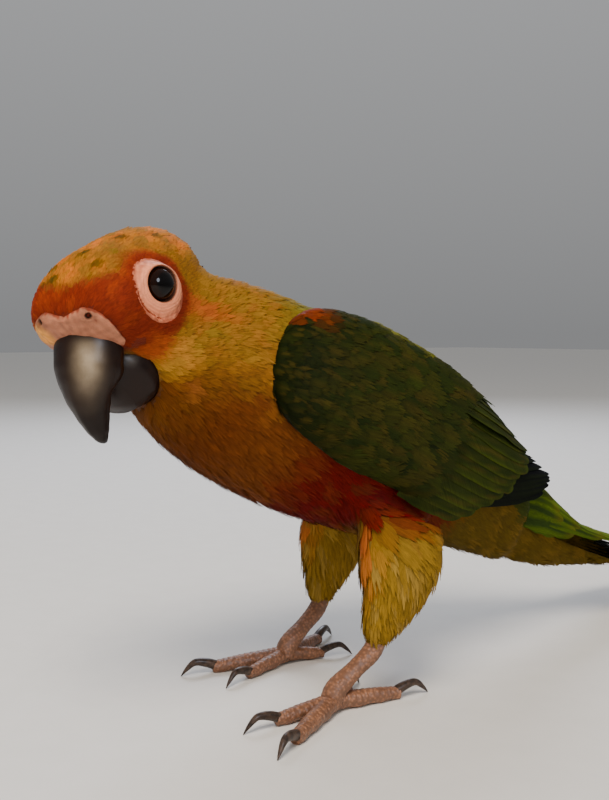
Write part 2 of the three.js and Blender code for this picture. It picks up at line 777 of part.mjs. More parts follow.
// Round limb through points, with a radius at each
function limb(points, radii, rings, sides, extra = 0) {
  const rows = points.map((p, i) => [...p, radii[i], radii[i], radii[i]]);
  const side = new THREE.Vector3(points[1][0] - points[0][0], points[1][1] - points[0][1], 0);
  const across = side.lengthSq() > 0.5
    ? new THREE.Vector3(side.y, -side.x, 0).normalize()
    : new THREE.Vector3(1, 0, 0);
  const axis = makeAxis(rows, (row) => new THREE.Vector3(row[0], row[1], row[2]), across);
  return loft(axis, rings, sides, extra);
}

// What reaches below the floor is cut off flat
const FLOOR_BLOCK = [400, 700, 60];
function floorCut(solid) {
  const below = new THREE.BoxGeometry(...FLOOR_BLOCK);
  below.translate(0, 0, -FLOOR_BLOCK[2] / 2);
  return solid.subtract(toSolid(below));
}

const nodes = [];
function addNode(name, solid, colour, roughness = 0.85) {
  const mesh = new THREE.Mesh(
    toGeometry(largest(solid)),
    new THREE.MeshStandardMaterial({ color: colour, roughness, metalness: 0 }),
  );
  mesh.name = name;
  nodes.push(mesh);
}

addNode('head', headSolid, 0xd8742a);
addNode('neck', neckSolid, 0xb89a2c);
addNode('torso', torsoSolid, 0xa8541c);
addNode('rump', rumpSolid, 0x8c8a24);
addNode('bill_upper', upperSolid, 0x3a3a3c, 0.4);
addNode('bill_lower', lowerSolid, 0x2c2a2c, 0.4);
addNode('tail', featheredTail(), 0x24402c);

for (const [name, side] of [['left', 1], ['right', -1]]) {
  const eye = ballAt(eyeFrame(side).centre, EYE_RADIUS);
  addNode(`eye_${name}`, moved(eye, headPlace), 0x120a08, 0.1);
  addNode(`wing_${name}`, featheredWing(side).subtract(trunkGrown), 0x2f4a1c);

  const leg = LEGS[name];
  const [footX, footY] = leg.foot;
  const thighRows = THIGH.map(([x, y, z, ...sizes]) => [footX + side * x, footY + y, z, ...sizes]);
  const thighAxis = makeAxis(thighRows, ([x, y, z]) => new THREE.Vector3(x, y, z), RIGHT_TO_LEFT);
  const thigh = loft(thighAxis, ...THIGH_MESH);
  addNode(`thigh_${name}`, thigh.subtract(trunkGrown).subtract(wingRoom(side)), 0xa88a2a);
  const thighGrown = loft(thighAxis, ...THIGH_MESH, GAP);
  const ankle = [footX + side * ANKLE[0], footY + ANKLE[1], ANKLE[2]];
  const middle = [(ankle[0] + footX) / 2, (ankle[1] + footY) / 2];
  const shank = [ankle];
  SHANK.forEach(([height, back], i) => {
    const [x, y] = i === 0 ? middle : leg.foot;
    shank.push([x, y + back, height]);
  });
  const shankRadii = [ANKLE_RADIUS, ...SHANK.map((row) => row[2])];
  const tarsus = (extra) => limb(shank, shankRadii, ...SHANK_MESH, extra);
  addNode(`tarsus_${name}`, floorCut(tarsus(0)).subtract(thighGrown), 0x7a6a64);
  let taken = tarsus(GAP);
  for (const [toe, out, reach, radius] of TOES) {
    const heading = degrees(leg.turn + side * out);
    const forward = [Math.sin(heading), -Math.cos(heading)];
    const at = (d, z) => [footX + forward[0] * d, footY + forward[1] * d, z];
    const body = (extra) => limb(
      [at(...TOE_START), ...TOE_AXIS.map(([share, height]) => at(reach * share, height))],
      TOE_TAPER.map((share) => radius * share),
      ...TOE_MESH,
      extra,
    );
    const claw = limb(
      CLAW_AXIS.map(([past, height]) => at(reach + past, height)),
      [...CLAW_TAPER.map((share) => radius * share), CLAW_TIP],
      ...CLAW_MESH,
    );
    addNode(`toe_${name}_${toe}`, floorCut(body(0)).subtract(taken), 0x6e605a);
    addNode(`claw_${name}_${toe}`, floorCut(claw).subtract(body(GAP)), 0x2a2422, 0.4);
    taken = taken.add(body(GAP));
  }
}

const bird = new THREE.Group();
bird.add(...nodes);
const box = new THREE.Box3().setFromObject(bird);
bird.position.set(-(box.min.x + box.max.x) / 2, -(box.min.y + box.max.y) / 2, -box.min.z);

export default bird;
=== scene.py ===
"""Sun conure at life size, as a still museum model: one skin, feathers in solid mesh, the bare
face, bill, eyes, scaled legs and a plain pale studio."""

import math
from functools import cache

import bpy
import numpy as np
from bpy.props import FloatProperty, FloatVectorProperty, PointerProperty
from mathutils import Matrix, Vector
from mathutils.bvhtree import BVHTree
from mathutils.kdtree import KDTree


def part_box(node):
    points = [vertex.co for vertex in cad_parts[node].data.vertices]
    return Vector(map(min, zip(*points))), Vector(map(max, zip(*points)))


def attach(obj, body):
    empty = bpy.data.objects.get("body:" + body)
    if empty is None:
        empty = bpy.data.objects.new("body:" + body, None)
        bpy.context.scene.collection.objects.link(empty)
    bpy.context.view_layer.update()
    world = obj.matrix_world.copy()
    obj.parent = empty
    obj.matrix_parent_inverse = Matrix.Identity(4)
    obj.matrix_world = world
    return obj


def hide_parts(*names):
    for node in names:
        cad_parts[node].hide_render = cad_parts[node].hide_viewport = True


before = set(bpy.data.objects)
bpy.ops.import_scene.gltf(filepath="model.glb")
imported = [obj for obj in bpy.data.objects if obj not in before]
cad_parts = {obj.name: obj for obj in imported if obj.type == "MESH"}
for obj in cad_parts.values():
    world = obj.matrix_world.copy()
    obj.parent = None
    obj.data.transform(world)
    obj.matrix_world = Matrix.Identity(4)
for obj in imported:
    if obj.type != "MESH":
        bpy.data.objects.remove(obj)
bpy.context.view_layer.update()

bl_info = {
    "name": "Sun conure model",
    "version": (1, 0, 0),
    "blender": (4, 5, 0),
    "location": "View3D > Sidebar > Conure",
    "description": "Builds the skin, plumage, face, bill, legs and studio of a sun conure",
    "category": "Object",
}

# Sizes shared with the solids, in millimetres: the bird faces -Y, its left side is +X

# Trunk: y, z, half width, height above, height below
TRUNK = [
    (-43, 87, 3, 5, 2), (-37, 83.5, 9.6, 14.8, 12), (-28, 79, 14.8, 19.8, 18.6),
    (-17, 74, 18, 22.4, 22.5), (-4, 68.5, 20.2, 23.8, 24.5), (13, 61, 20.8, 25.8, 24.5),
    (31, 53, 18.2, 24.8, 22), (49, 45, 14, 19.8, 18), (66, 38, 10.6, 14.8, 16.4),
    (82, 32.5, 8.6, 12, 16.6), (96, 28, 7.4, 9, 16), (110, 24, 5.4, 6, 13),
]
# Head in its own frame: y, z, half width, height above, height below
HEAD = [
    (22.5, -3, 8, 10, 9), (18, -1.5, 12, 14, 13), (9.5, 0, 14.5, 15, 16.5),
    (0, 0.5, 15, 14.4, 14.8), (-6, 1.8, 14.2, 13.4, 10.4), (-10.5, 3.4, 12.8, 12, 8),
    (-14, 5, 10.8, 9.2, 6), (-16.2, 6.2, 8, 6.2, 4), (-17.6, 6.8, 4.4, 3, 2.2),
]
HEAD_JOWL = 0.55
HEAD_CENTRE = np.array((0.1, -42.5, 88.4))
HEAD_TURN = (34, 20, -6)
# Places of the head's frame from which the coat is measured
SKULL_MIDDLE = (0, 2, 0)
BILL_ROOT = (0, -13, 1)
CHEEK = ((3.4, 8.4, -5.4), (12.8, 12, 13.4))
EYE_PLACE = np.array((10.6, -1.8, 4.6))
EYE_AIM = np.array((0.94, -0.32, 0.08))
EYE_RADIUS = 4.3
CORNEA_RISE = 0.45
BILL_UPPER = [
    (-7, 0, 6.4, 4.6, 6), (-11, -1.2, 6.9, 5.8, 6), (-14, -4.6, 6.9, 6.1, 5.6),
    (-15.9, -8.2, 6.4, 5.9, 4.6), (-17.2, -11.2, 4.9, 5.3, 3.1), (-17.8, -14.6, 3.3, 4.2, 2.3),
    (-17.9, -17.8, 2.2, 2.9, 1.7), (-17.6, -20.4, 1.2, 1.6, 1), (-17.3, -21.6, 0.5, 0.5, 0.5),
]
BILL_LOWER = [
    (8, -6, 6, 4, 4), (3.6, -9, 8.5, 7.6, 6), (-1.6, -12, 8.8, 9.2, 6.2),
    (-6.6, -14.8, 7.8, 9.6, 4.8), (-10.6, -16.6, 4.4, 7.4, 2.6),
]
BILL_SHOULDER = 0.5
NOSTRIL = (5.2, -17.6, 4.3)
# Cere: turn from the middle in degrees, its upper and lower edge
CERE_EDGES = [(0, 4.9, -0.6), (14, 5.6, -0.7), (27, 5.9, -0.8), (43, 3.9, -1.6), (56, -0.8, -3.2),
              (62, -2.4, -3.6)]
CERE_AXIS = (0, -8)

# Folded wing: distance along the trunk, half width and half height of its outer face
WING_HULL = [
    (26, 19.5, 21.5), (36, 23, 25), (50, 25.2, 28), (64, 25.6, 29.6), (80, 23.8, 29),
    (98, 20, 25.6), (114, 16.4, 21), (130, 13.2, 16.4), (150, 10, 11.5),
]
# Body of the folded wing: distance along, low edge, high edge, lift
WING_BODY = [
    (29, 4, 9, -0.4), (31, -2, 16, -0.2), (36, -7, 23.5, 0), (45, -10, 29, 0),
    (54, -11.5, 32, -0.5), (60, -11.5, 33, -1.6), (68, -11.5, 33, -2.1),
    (78, -10.5, 31.5, -2.4), (85, -9, 28, -3.4), (90, -6, 23, -4.2),
]
TAIL_START = 128.15
TAIL_LENGTH = 116
TAIL_DROOP = (25, 5)
# Root of the tail: distance, half width, height above, depth below
TAIL_ROOT = [
    (-8, 5.4, 6.6, 12), (0, 6.8, 7.8, 14.4), (6, 7.2, 9, 14.6), (13, 7, 7, 13.8),
    (21, 6.6, 4.8, 12.2), (30, 6, 2.6, 10), (40, 5.2, 1.2, 7.8), (50, 4.4, 0.6, 6),
    (60, 3.6, 0.2, 4.4), (70, 2.6, -0.4, 2.6), (76, 1, -0.8, 1.4),
]
# Legs: joint of the foot on the floor and its turn
LEGS = {"left": (1, 17, 0, 13), "right": (-1, -15, 9, 4)}
ANKLE = (1, 10.4, 12)
# Toes: name, turn outwards, reach, radius
TOES = [
    ("inner_front", -14, 15, 1.8), ("outer_front", 17, 19.5, 2),
    ("inner_back", 200, 10, 1.7), ("outer_back", 158, 17, 1.9),
]
SHANK_RADII = [2.0, 2.2, 2.0, 2.5, 2.6]
# Toe: share of its reach, height, and radius as a share of the toe's own
TOE_LINE = [(0, 2.2, 1.05), (0.3, 1.9, 1), (0.6, 1.7, 0.92), (1, 1.3, 0.74)]
# Claw: distance past the toe's reach, height, and radius as a share of the toe's, to its tip
CLAW_LINE = [(-1.2, 1.5, 0.62), (1.5, 2.6, 0.56), (4.6, 3.0, 0.42), (6.6, 1.6, 0.26)]
CLAW_REACH = 8
CLAW_TIP = (0.1, 0.12)
THIGH_TOP = 42
# Middle line of a thigh from its foot's joint: outwards, back and up
THIGH_LINE = ((-1, 17.5, 44), (1.5, 11, 12))

# Numbers


def linear(code):
    """An sRGB hex colour as linear red, green and blue."""
    parts = [int(code[i:i + 2], 16) / 255 for i in (1, 3, 5)]
    return tuple(c / 12.92 if c <= 0.04045 else ((c + 0.055) / 1.055) ** 2.4 for c in parts)


def unit(v):
    """Vectors at a length of 1."""
    return v / np.maximum(np.linalg.norm(v, axis=-1, keepdims=True), 1e-12)


def step(low, high, x):
    """A smooth step from 0 at low to 1 at high."""
    t = np.clip((np.asarray(x, float) - low) / (high - low), 0, 1)
    return t * t * (3 - 2 * t)


def smooth_table(rows, keys, at):
    """Rows of numbers read smoothly at any places along their keys."""
    rows, keys = np.asarray(rows, float), np.asarray(keys, float)
    at = np.clip(np.asarray(at, float), keys[0], keys[-1])
    last = len(keys) - 1
    low, high = np.maximum(np.arange(last + 1) - 1, 0), np.minimum(np.arange(last + 1) + 1, last)
    slopes = (rows[high] - rows[low]) / (keys[high] - keys[low])[:, None]
    i = np.clip(np.searchsorted(keys, at, side="left") - 1, 0, last - 1)
    span = keys[i + 1] - keys[i]
    f = ((at - keys[i]) / span)[..., None]
    span = span[..., None]
    f2, f3 = f * f, f * f * f
    return ((2 * f3 - 3 * f2 + 1) * rows[i] + (f3 - 2 * f2 + f) * span * slopes[i]
            + (3 * f2 - 2 * f3) * rows[i + 1] + (f3 - f2) * span * slopes[i + 1])


def read_table(table, at):
    """Rows of a table, keyed by its first column, read smoothly at any places."""
    return smooth_table([row[1:] for row in table], [row[0] for row in table], at)


def read_pairs(pairs, at):
    """The second number of pairs, read straight between the first ones at any places."""
    return np.interp(at, [pair[0] for pair in pairs], [pair[1] for pair in pairs])


class Axis:
    """A smooth line through points, with a frame and sizes at every distance along it."""

    def __init__(self, points, sizes, side_axis, samples=4000):
        p = np.asarray(points, float)
        p = np.vstack([2 * p[0] - p[1], p, 2 * p[-1] - p[-2]])
        t = np.linspace(0, len(p) - 3, samples + 1)
        i = np.minimum(t.astype(int), len(p) - 4)
        w = (t - i)[:, None]
        a, b, c, d = p[i], p[i + 1], p[i + 2], p[i + 3]
        gap = [np.linalg.norm(y - x, axis=1, keepdims=True) ** 0.5
               for x, y in ((a, b), (b, c), (c, d))]
        m1 = ((b - a) / gap[0] - (c - a) / (gap[0] + gap[1]) + (c - b) / gap[1]) * gap[1]
        m2 = ((c - b) / gap[1] - (d - b) / (gap[1] + gap[2]) + (d - c) / gap[2]) * gap[1]
        w2, w3 = w * w, w * w * w
        self.points = ((2 * w3 - 3 * w2 + 1) * b + (w3 - 2 * w2 + w) * m1
                       + (3 * w2 - 2 * w3) * c + (w3 - w2) * m2)
        self.lengths = np.concatenate(
            [[0], np.cumsum(np.linalg.norm(np.diff(self.points, axis=0), axis=1))])
        self.total = self.lengths[-1]
        n = len(points)
        marks = [round(400 * k / (n - 1)) * samples // 400 for k in range(n)]
        self.keys = self.lengths[marks]
        self.sizes = sizes
        self.side_axis = np.asarray(side_axis, float)
        self.tangents = unit(np.gradient(self.points, self.lengths, axis=0))

    def frames(self, distance):
        """Centre, along, up, side and sizes at each distance."""
        at = np.clip(np.asarray(distance, float), 0, self.total)
        centre = np.stack([np.interp(at, self.lengths, self.points[:, k]) for k in range(3)], -1)
        along = unit(np.stack(
            [np.interp(at, self.lengths, self.tangents[:, k]) for k in range(3)], -1))
        up = unit(np.cross(self.side_axis, along))
        side = unit(np.cross(along, up))
        return centre, along, up, side, smooth_table(self.sizes, self.keys, at)


def axis_of(rows, side_axis):
    """The middle line of a body whose rows give y, z and the sizes there."""
    return Axis([(0, r[0], r[1]) for r in rows], [r[2:] for r in rows], side_axis)


trunk_axis = axis_of(TRUNK, (1, 0, 0))
head_axis = axis_of(HEAD, (-1, 0, 0))
eye_way = unit(EYE_AIM)
head_turn = np.array(Matrix.Rotation(math.radians(HEAD_TURN[0]), 3, "Z")
                     @ Matrix.Rotation(math.radians(HEAD_TURN[1]), 3, "X")
                     @ Matrix.Rotation(math.radians(HEAD_TURN[2]), 3, "Y"))


def from_head(p):
    """Points of the head's frame in the bird's frame."""
    return np.asarray(p, float) @ head_turn.T + HEAD_CENTRE


def to_head(p):
    """Points of the bird's frame in the head's frame."""
    return (np.asarray(p, float) - HEAD_CENTRE) @ head_turn


def reach_from(q, centre):
    """Distance of points from a place."""
    return np.linalg.norm(q - np.array(centre, float), axis=-1)


eye_low, eye_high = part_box("eye_left")
SHIFT = np.array((eye_low + eye_high) / 2) * 1000 - from_head(EYE_PLACE)


def to_metres(p):
    """Points of the bird's frame, in millimetres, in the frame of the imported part."""
    return (np.asarray(p, float) + SHIFT) / 1000


def loft_rings(axis, rings, sides, jowl=1.0, shoulder=1.0, end=None):
    """Rings of an egg-shaped body along an axis as far as its end, and its two end points."""
    total = axis.total if end is None else end
    r = (np.arange(rings) + 0.5) / rings
    u = r + ((0.5 - 0.5 * np.cos(np.pi * r)) - r) * 0.35
    centre, _, up, side, size = axis.frames(u * total)
    angle = 2 * np.pi * np.arange(sides) / sides
    c, d = np.cos(angle), np.sin(angle)
    c = np.sign(c) * np.abs(c) ** np.where(d < 0, jowl, shoulder)
    wide = c[None, :] * size[:, :1]
    tall = np.where(d > 0, d * size[:, 1:2], d * size[:, 2:3])
    places = centre[:, None] + side[:, None] * wide[..., None] + up[:, None] * tall[..., None]
    ends = axis.frames([0, total])
    return places, ends[0][0] - 0.25 * ends[1][0], ends[0][1] + 0.25 * ends[1][1]


def wing_point(along, across, lift, side):
    """Points on the outer face of the folded wing, by distance along and arc above the flank."""
    along, across, lift = np.broadcast_arrays(*[np.asarray(v, float) for v in (along, across, lift)])
    centre, _, up, out, _ = trunk_axis.frames(along)
    size = read_table(WING_HULL, along)
    half, tall = size[..., 0], size[..., 1]
    angle = across / (0.5 * (half + tall))
    c, s = np.cos(angle), np.sin(angle)
    normal = unit(out * (c / half)[..., None] + up * (s / tall)[..., None])
    p = centre + out * (c * half)[..., None] + up * (s * tall)[..., None]
    p = p + normal * lift[..., None]
    return p * np.array([side, 1, 1])


def tail_point(distance, across, lift):
    """Points of the tail, by distance from its root, place across and lift."""
    distance, across, lift = np.broadcast_arrays(
        *[np.asarray(v, float) for v in (distance, across, lift)])
    first = math.radians(TAIL_DROOP[0])
    change = math.radians(TAIL_DROOP[1]) - first
    u = distance / TAIL_LENGTH
    p = np.zeros(distance.shape + (3,)) + trunk_axis.frames([TAIL_START])[0][0]
    for i in range(24):
        angle = first + change * (u * (i + 0.5) / 24)
        p[..., 1] += np.cos(angle) * distance / 24
        p[..., 2] -= np.sin(angle) * distance / 24
    angle = first + change * u
    p[..., 1] += np.sin(angle) * lift
    p[..., 2] += np.cos(angle) * lift
    p[..., 0] += across
    return p


# Meshes


def select_only(*objects):
    """Selects these objects and no other, and makes the first one active."""
    bpy.ops.object.select_all(action="DESELECT")
    for o in objects:
        o.select_set(True)
    bpy.context.view_layer.objects.active = objects[0]


def linked_object(name, mesh):
    """An object for a mesh, put into the scene."""
    obj = bpy.data.objects.new(name, mesh)
    bpy.context.scene.collection.objects.link(obj)
    return obj


def new_object(name, verts, faces, colours, uvs=None):
    """A mesh object from points in the bird's frame, faces of one size, point colours and UVs."""
    verts, faces = np.asarray(verts, float).reshape(-1, 3), np.asarray(faces, np.int32)
    mesh = bpy.data.meshes.new(name)
    mesh.vertices.add(len(verts))
    mesh.vertices.foreach_set("co", to_metres(verts).astype(np.float32).ravel())
    mesh.loops.add(faces.size)
    mesh.loops.foreach_set("vertex_index", faces.ravel())
    mesh.polygons.add(len(faces))
    mesh.polygons.foreach_set(
        "loop_start", np.arange(0, faces.size, faces.shape[1], dtype=np.int32))
    mesh.update(calc_edges=True)
    for key, points in (uvs or {}).items():
        layer = mesh.uv_layers.new(name=key)
        layer.uv.foreach_set("vector", points[faces.ravel()].astype(np.float32).ravel())
    paint(mesh, colours)
    mesh.shade_smooth()
    return linked_object(name, mesh)


def paint(mesh, colours):
    """Writes linear colours to the points of a mesh, as its Tint attribute."""
    layer = mesh.color_attributes.get("Tint")
    if layer is None:
        layer = mesh.color_attributes.new("Tint", "FLOAT_COLOR", "POINT")
    full = np.ones((len(mesh.vertices), 4), np.float32)
    full[:, :3] = np.clip(colours, 0, 1)
    layer.data.foreach_set("color", full.ravel())


def ring_faces(rings, sides, poles=True):
    """Quads round a stack of rings and, with poles, triangles to a point at either end."""
    r, s = np.meshgrid(np.arange(rings - 1), np.arange(sides), indexing="ij")
    a, b = r * sides + s, r * sides + (s + 1) % sides
    quads = np.stack([a, b, b + sides, a + sides], -1).reshape(-1, 4).tolist()
    if poles:
        first, last = rings * sides, rings * sides + 1
        top = (rings - 1) * sides
        quads += [[first, (k + 1) % sides, k] for k in range(sides)]
        quads += [[last, top + k, top + (k + 1) % sides] for k in range(sides)]
    return quads


def sheet_faces(rows, columns):
    """Quads of an open sheet of rows and columns."""
    r, c = np.meshgrid(np.arange(rows - 1), np.arange(columns - 1), indexing="ij")
    a = (r * columns + c).ravel()
    return np.stack([a, a + 1, a + columns + 1, a + columns], -1)


def closed_body(name, rings, first, last):
    """A closed body through rings of points, its normals turned outwards."""
    n, sides = rings.shape[:2]
    points = np.vstack([rings.reshape(-1, 3), [first], [last]])
    mesh = bpy.data.meshes.new(name)
    mesh.from_pydata(to_metres(points).tolist(), [], ring_faces(n, sides))
    obj = linked_object(name, mesh)
    tidy_normals(obj)
    mesh.shade_smooth()
    return obj


def edit_all(obj, operator, **settings):
    """Runs an edit mode operator on the whole of a mesh."""
    select_only(obj)
    bpy.ops.object.mode_set(mode="EDIT")
    bpy.ops.mesh.select_all(action="SELECT")
    operator(**settings)
    bpy.ops.object.mode_set(mode="OBJECT")


def tidy_normals(obj):
    """Turns all faces of a mesh outwards."""
    edit_all(obj, bpy.ops.mesh.normals_make_consistent, inside=False)


def egg(name, centre, halves):
    """An ellipsoid of the head's frame."""
    bpy.ops.mesh.primitive_uv_sphere_add(segments=32, ring_count=20, radius=1)
    obj = bpy.context.object
    obj.name = name
    local = mesh_points(obj) * np.array(halves) + np.array(centre)
    set_points(obj, from_head(local))
    return obj


def mesh_points(obj):
    """Points of a mesh in metres."""
    co = np.empty(len(obj.data.vertices) * 3, np.float32)
    obj.data.vertices.foreach_get("co", co)
    return co.reshape(-1, 3).astype(float)


def set_points(obj, points):
    """Places the points of a mesh, given in the bird's frame, and leaves its object unturned."""
    obj.data.vertices.foreach_set("co", to_metres(points).astype(np.float32).ravel())
    obj.data.update()
    obj.matrix_world = Matrix.Identity(4)


def mesh_normals(obj):
    """Smooth normals at the points of a mesh."""
    no = np.empty(len(obj.data.vertices) * 3, np.float32)
    obj.data.vertex_normals.foreach_get("vector", no)
    return no.reshape(-1, 3).astype(float)


def bird_points(obj):
    """Points of a finished mesh in the bird's frame."""
    return mesh_points(obj) * 1000 - SHIFT


def add_modifier(obj, kind, **settings):
    """Adds a modifier with its settings and applies it."""
    select_only(obj)
    modifier = obj.modifiers.new(kind.title(), kind)
    for key, value in settings.items():
        setattr(modifier, key, value)
    bpy.ops.object.modifier_apply(modifier=modifier.name)


def finish_piece(obj, material, slot, replaces=()):
    """Gives a piece its material and its body, and hides the parts that it stands for; slot is not
    used.
    """
    obj.data.materials.clear()
    obj.data.materials.append(material)
    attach(obj, "root")
    if replaces:
        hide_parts(*replaces)


# Materials


def add_node(tree, kind, settings=None, links=None):
    """Adds a node, sets its properties and sockets, and links its inputs to other outputs."""
    node = tree.nodes.new(kind)
    for key, value in (settings or {}).items():
        if isinstance(key, str) and hasattr(node, key):
            setattr(node, key, value)
        else:
            node.inputs[key].default_value = value
    for key, source in (links or {}).items():
        tree.links.new(source, node.inputs[key])
    return node


def new_material(name, **shader):
    """A material with one Principled shader; returns it with its tree and shader."""
    material = bpy.data.materials.new(name)
    material.use_nodes = True
    tree = material.node_tree
    tree.nodes.clear()
    principled = add_node(tree, "ShaderNodeBsdfPrincipled", shader)
    add_node(tree, "ShaderNodeOutputMaterial", links={"Surface": principled.outputs["BSDF"]})
    return material, tree, principled


def vary_tint(tree, shader, source, level):
    """Lets a pattern lighten and darken the points' Tint, and returns how much."""
    tint = add_node(tree, "ShaderNodeAttribute", {"attribute_name": "Tint"})
    share = add_node(tree, "ShaderNodeMapRange", level, {"Value": source})
    mixed = add_node(tree, "ShaderNodeVectorMath", {"operation": "SCALE"},
                     {0: tint.outputs["Color"], "Scale": share.outputs["Result"]})
    tree.links.new(mixed.outputs["Vector"], shader.inputs["Base Color"])
    return share.outputs["Result"]


def barbed(material, tree, shader, barbs, detail, level, raised):
    """Gives a feather's material its barbs, drawn along the feather by its Barb map."""
    barb = add_node(tree, "ShaderNodeUVMap", {"uv_map": "Barb"})
    scale = add_node(tree, "ShaderNodeMapping", {"Scale": barbs}, {"Vector": barb.outputs["UV"]})
    streak = add_node(tree, "ShaderNodeTexNoise", {"Scale": 1, "Detail": detail},
                      {"Vector": scale.outputs["Vector"]})
    vary_tint(tree, shader, streak.outputs["Fac"], {"From Min": 0.3, "From Max": 0.7, **level})
    bump = add_node(tree, "ShaderNodeBump", raised, {"Height": streak.outputs["Fac"]})
    tree.links.new(bump.outputs["Normal"], shader.inputs["Normal"])
    return material


@cache
def contour_feather_material():
    """Contour feathers of keratin barbs: soft and matt, with fine streaks along each barb."""
    parts = new_material("contour_feather", Roughness=0.75, **{"Specular IOR Level": 0.08})
    # Barbs of a small feather stand about 0.25 mm apart
    return barbed(*parts, (7, 0.5, 1), 2, {"To Min": 0.72, "To Max": 1.16},
                  {"Strength": 0.35, "Distance": 0.0001})


@cache
def flight_feather_material():
    """Flight feathers: stiff closed vanes with a faint gloss, and barbs slanted off the shaft."""
    parts = new_material("flight_feather", Roughness=0.65, **{"Specular IOR Level": 0.05})
    # Barbs of a flight feather, drawn 0.4 mm apart so that they show
    return barbed(*parts, (0.15, 2.4, 1), 3, {"To Min": 0.7, "To Max": 1.2},
                  {"Strength": 0.4, "Distance": 0.00012})


@cache
def bare_skin_material():
    """Bare bird skin: thin, slightly translucent, finely wrinkled and pored."""
    material, tree, shader = new_material(
        "bare_skin", Roughness=0.6, **{"Specular IOR Level": 0.15, "Subsurface Weight": 0.06,
                                       "Subsurface Scale": 0.001})
    place = add_node(tree, "ShaderNodeTexCoord")
    # Pores and wrinkles about 0.4 mm across
    cells = add_node(tree, "ShaderNodeTexVoronoi", {"Scale": 2600},
                     {"Vector": place.outputs["Object"]})
    patches = add_node(tree, "ShaderNodeTexNoise", {"Scale": 700, "Detail": 3},
                       {"Vector": place.outputs["Object"]})
    vary_tint(tree, shader, patches.outputs["Fac"], {"To Min": 0.8, "To Max": 1.15})
    bump = add_node(tree, "ShaderNodeBump", {"Strength": 0.35, "Distance": 0.0002},
                    {"Height": cells.outputs["Distance"]})
    tree.links.new(bump.outputs["Normal"], shader.inputs["Normal"])
    return material


# Horn: tone where it is clear and where it is worn, roughness, and flakes to a metre
HORN = {
    "bill_horn": ("bill_clear", "bill_worn", 0.36, 420),
    "claw_horn": ("claw_dark", "claw_worn", 0.3, 900),
}


@cache
def horn_material(name):
    """Keratin horn of bill or claw: smooth, with paler patches of wear and low gloss."""
    clear, worn_tone, roughness, fine = HORN[name]
    material, tree, shader = new_material(name, IOR=1.54, **{"Specular IOR Level": 0.2})
    tint = add_node(tree, "ShaderNodeAttribute", {"attribute_name": "Tint"})
    place = add_node(tree, "ShaderNodeTexCoord")
    flakes = add_node(tree, "ShaderNodeTexNoise", {"Scale": fine, "Detail": 5, "Roughness": 0.6},
                      {"Vector": place.outputs["Object"]})
    wear_and_sheen = add_node(tree, "ShaderNodeMapRange", {"From Min": 0.35, "From Max": 0.7},
                    {"Value": flakes.outputs["Fac"]})
    wear = add_node(tree, "ShaderNodeMix",
                    {"data_type": "RGBA", 6: (*tone(clear), 1), 7: (*tone(worn_tone), 1)},
                    {0: wear_and_sheen.outputs["Result"]})
    mixed = add_node(tree, "ShaderNodeMix", {"data_type": "RGBA", "blend_type": "MULTIPLY", 0: 1.0},
                     {6: wear.outputs[2], 7: tint.outputs["Color"]})
    gloss = add_node(tree, "ShaderNodeMapRange",
                     {"To Min": roughness - 0.1, "To Max": roughness + 0.15},
                     {"Value": flakes.outputs["Fac"]})
    tree.links.new(mixed.outputs[2], shader.inputs["Base Color"])
    tree.links.new(gloss.outputs["Result"], shader.inputs["Roughness"])
    bump = add_node(tree, "ShaderNodeBump", {"Strength": 0.3, "Distance": 0.0002},
                    {"Height": flakes.outputs["Fac"]})
    tree.links.new(bump.outputs["Normal"], shader.inputs["Normal"])
    return material


@cache
def scale_skin_material():
    """Horny scales of a parrot's leg: small rounded plates with dark seams."""
    material, tree, shader = new_material("leg_scales", Roughness=0.5)
    place = add_node(tree, "ShaderNodeTexCoord")
    # Plates of the leg are about 0.8 mm across
    cells = add_node(tree, "ShaderNodeTexVoronoi", {"Scale": 1300},
                     {"Vector": place.outputs["Object"]})
    seam = vary_tint(tree, shader, cells.outputs["Distance"],
                     {"From Min": 0.2, "From Max": 0.62, "To Min": 1.12, "To Max": 0.6})
    bump = add_node(tree, "ShaderNodeBump", {"Strength": 0.6, "Distance": 0.0003},
                    {"Height": seam})
    tree.links.new(bump.outputs["Normal"], shader.inputs["Normal"])
    return material


@cache
def eye_material():
    """Living eye: dark brown iris round a black pupil under a wet clear cornea."""
    material, tree, shader = new_material(
        "wet_eye", Roughness=0.05, IOR=1.376, **{"Specular IOR Level": 0.3})
    place = add_node(tree, "ShaderNodeTexCoord")
    # Fibres of the iris, about 0.3 mm apart
    fibres = add_node(tree, "ShaderNodeTexNoise", {"Scale": 2500, "Detail": 3},
                      {"Vector": place.outputs["Object"]})
    vary_tint(tree, shader, fibres.outputs["Fac"], {"To Min": 0.6, "To Max": 1.3})
    return material


def floor_material():
    """Plain matt studio floor, painted, with a faint roller texture."""
    material, tree, shader = new_material("studio_floor", Roughness=0.9)
    place = add_node(tree, "ShaderNodeTexCoord")
    grain = add_node(tree, "ShaderNodeTexNoise", {"Scale": 120, "Detail": 4},
                     {"Vector": place.outputs["Object"]})
    mixed = add_node(tree, "ShaderNodeMix",
                     {"data_type": "RGBA", 6: (*tone("floor"), 1), 7: (*tone("floor_worn"), 1)},
                     {0: grain.outputs["Fac"]})
    tree.links.new(mixed.outputs[2], shader.inputs["Base Color"])
    return material


# Colours

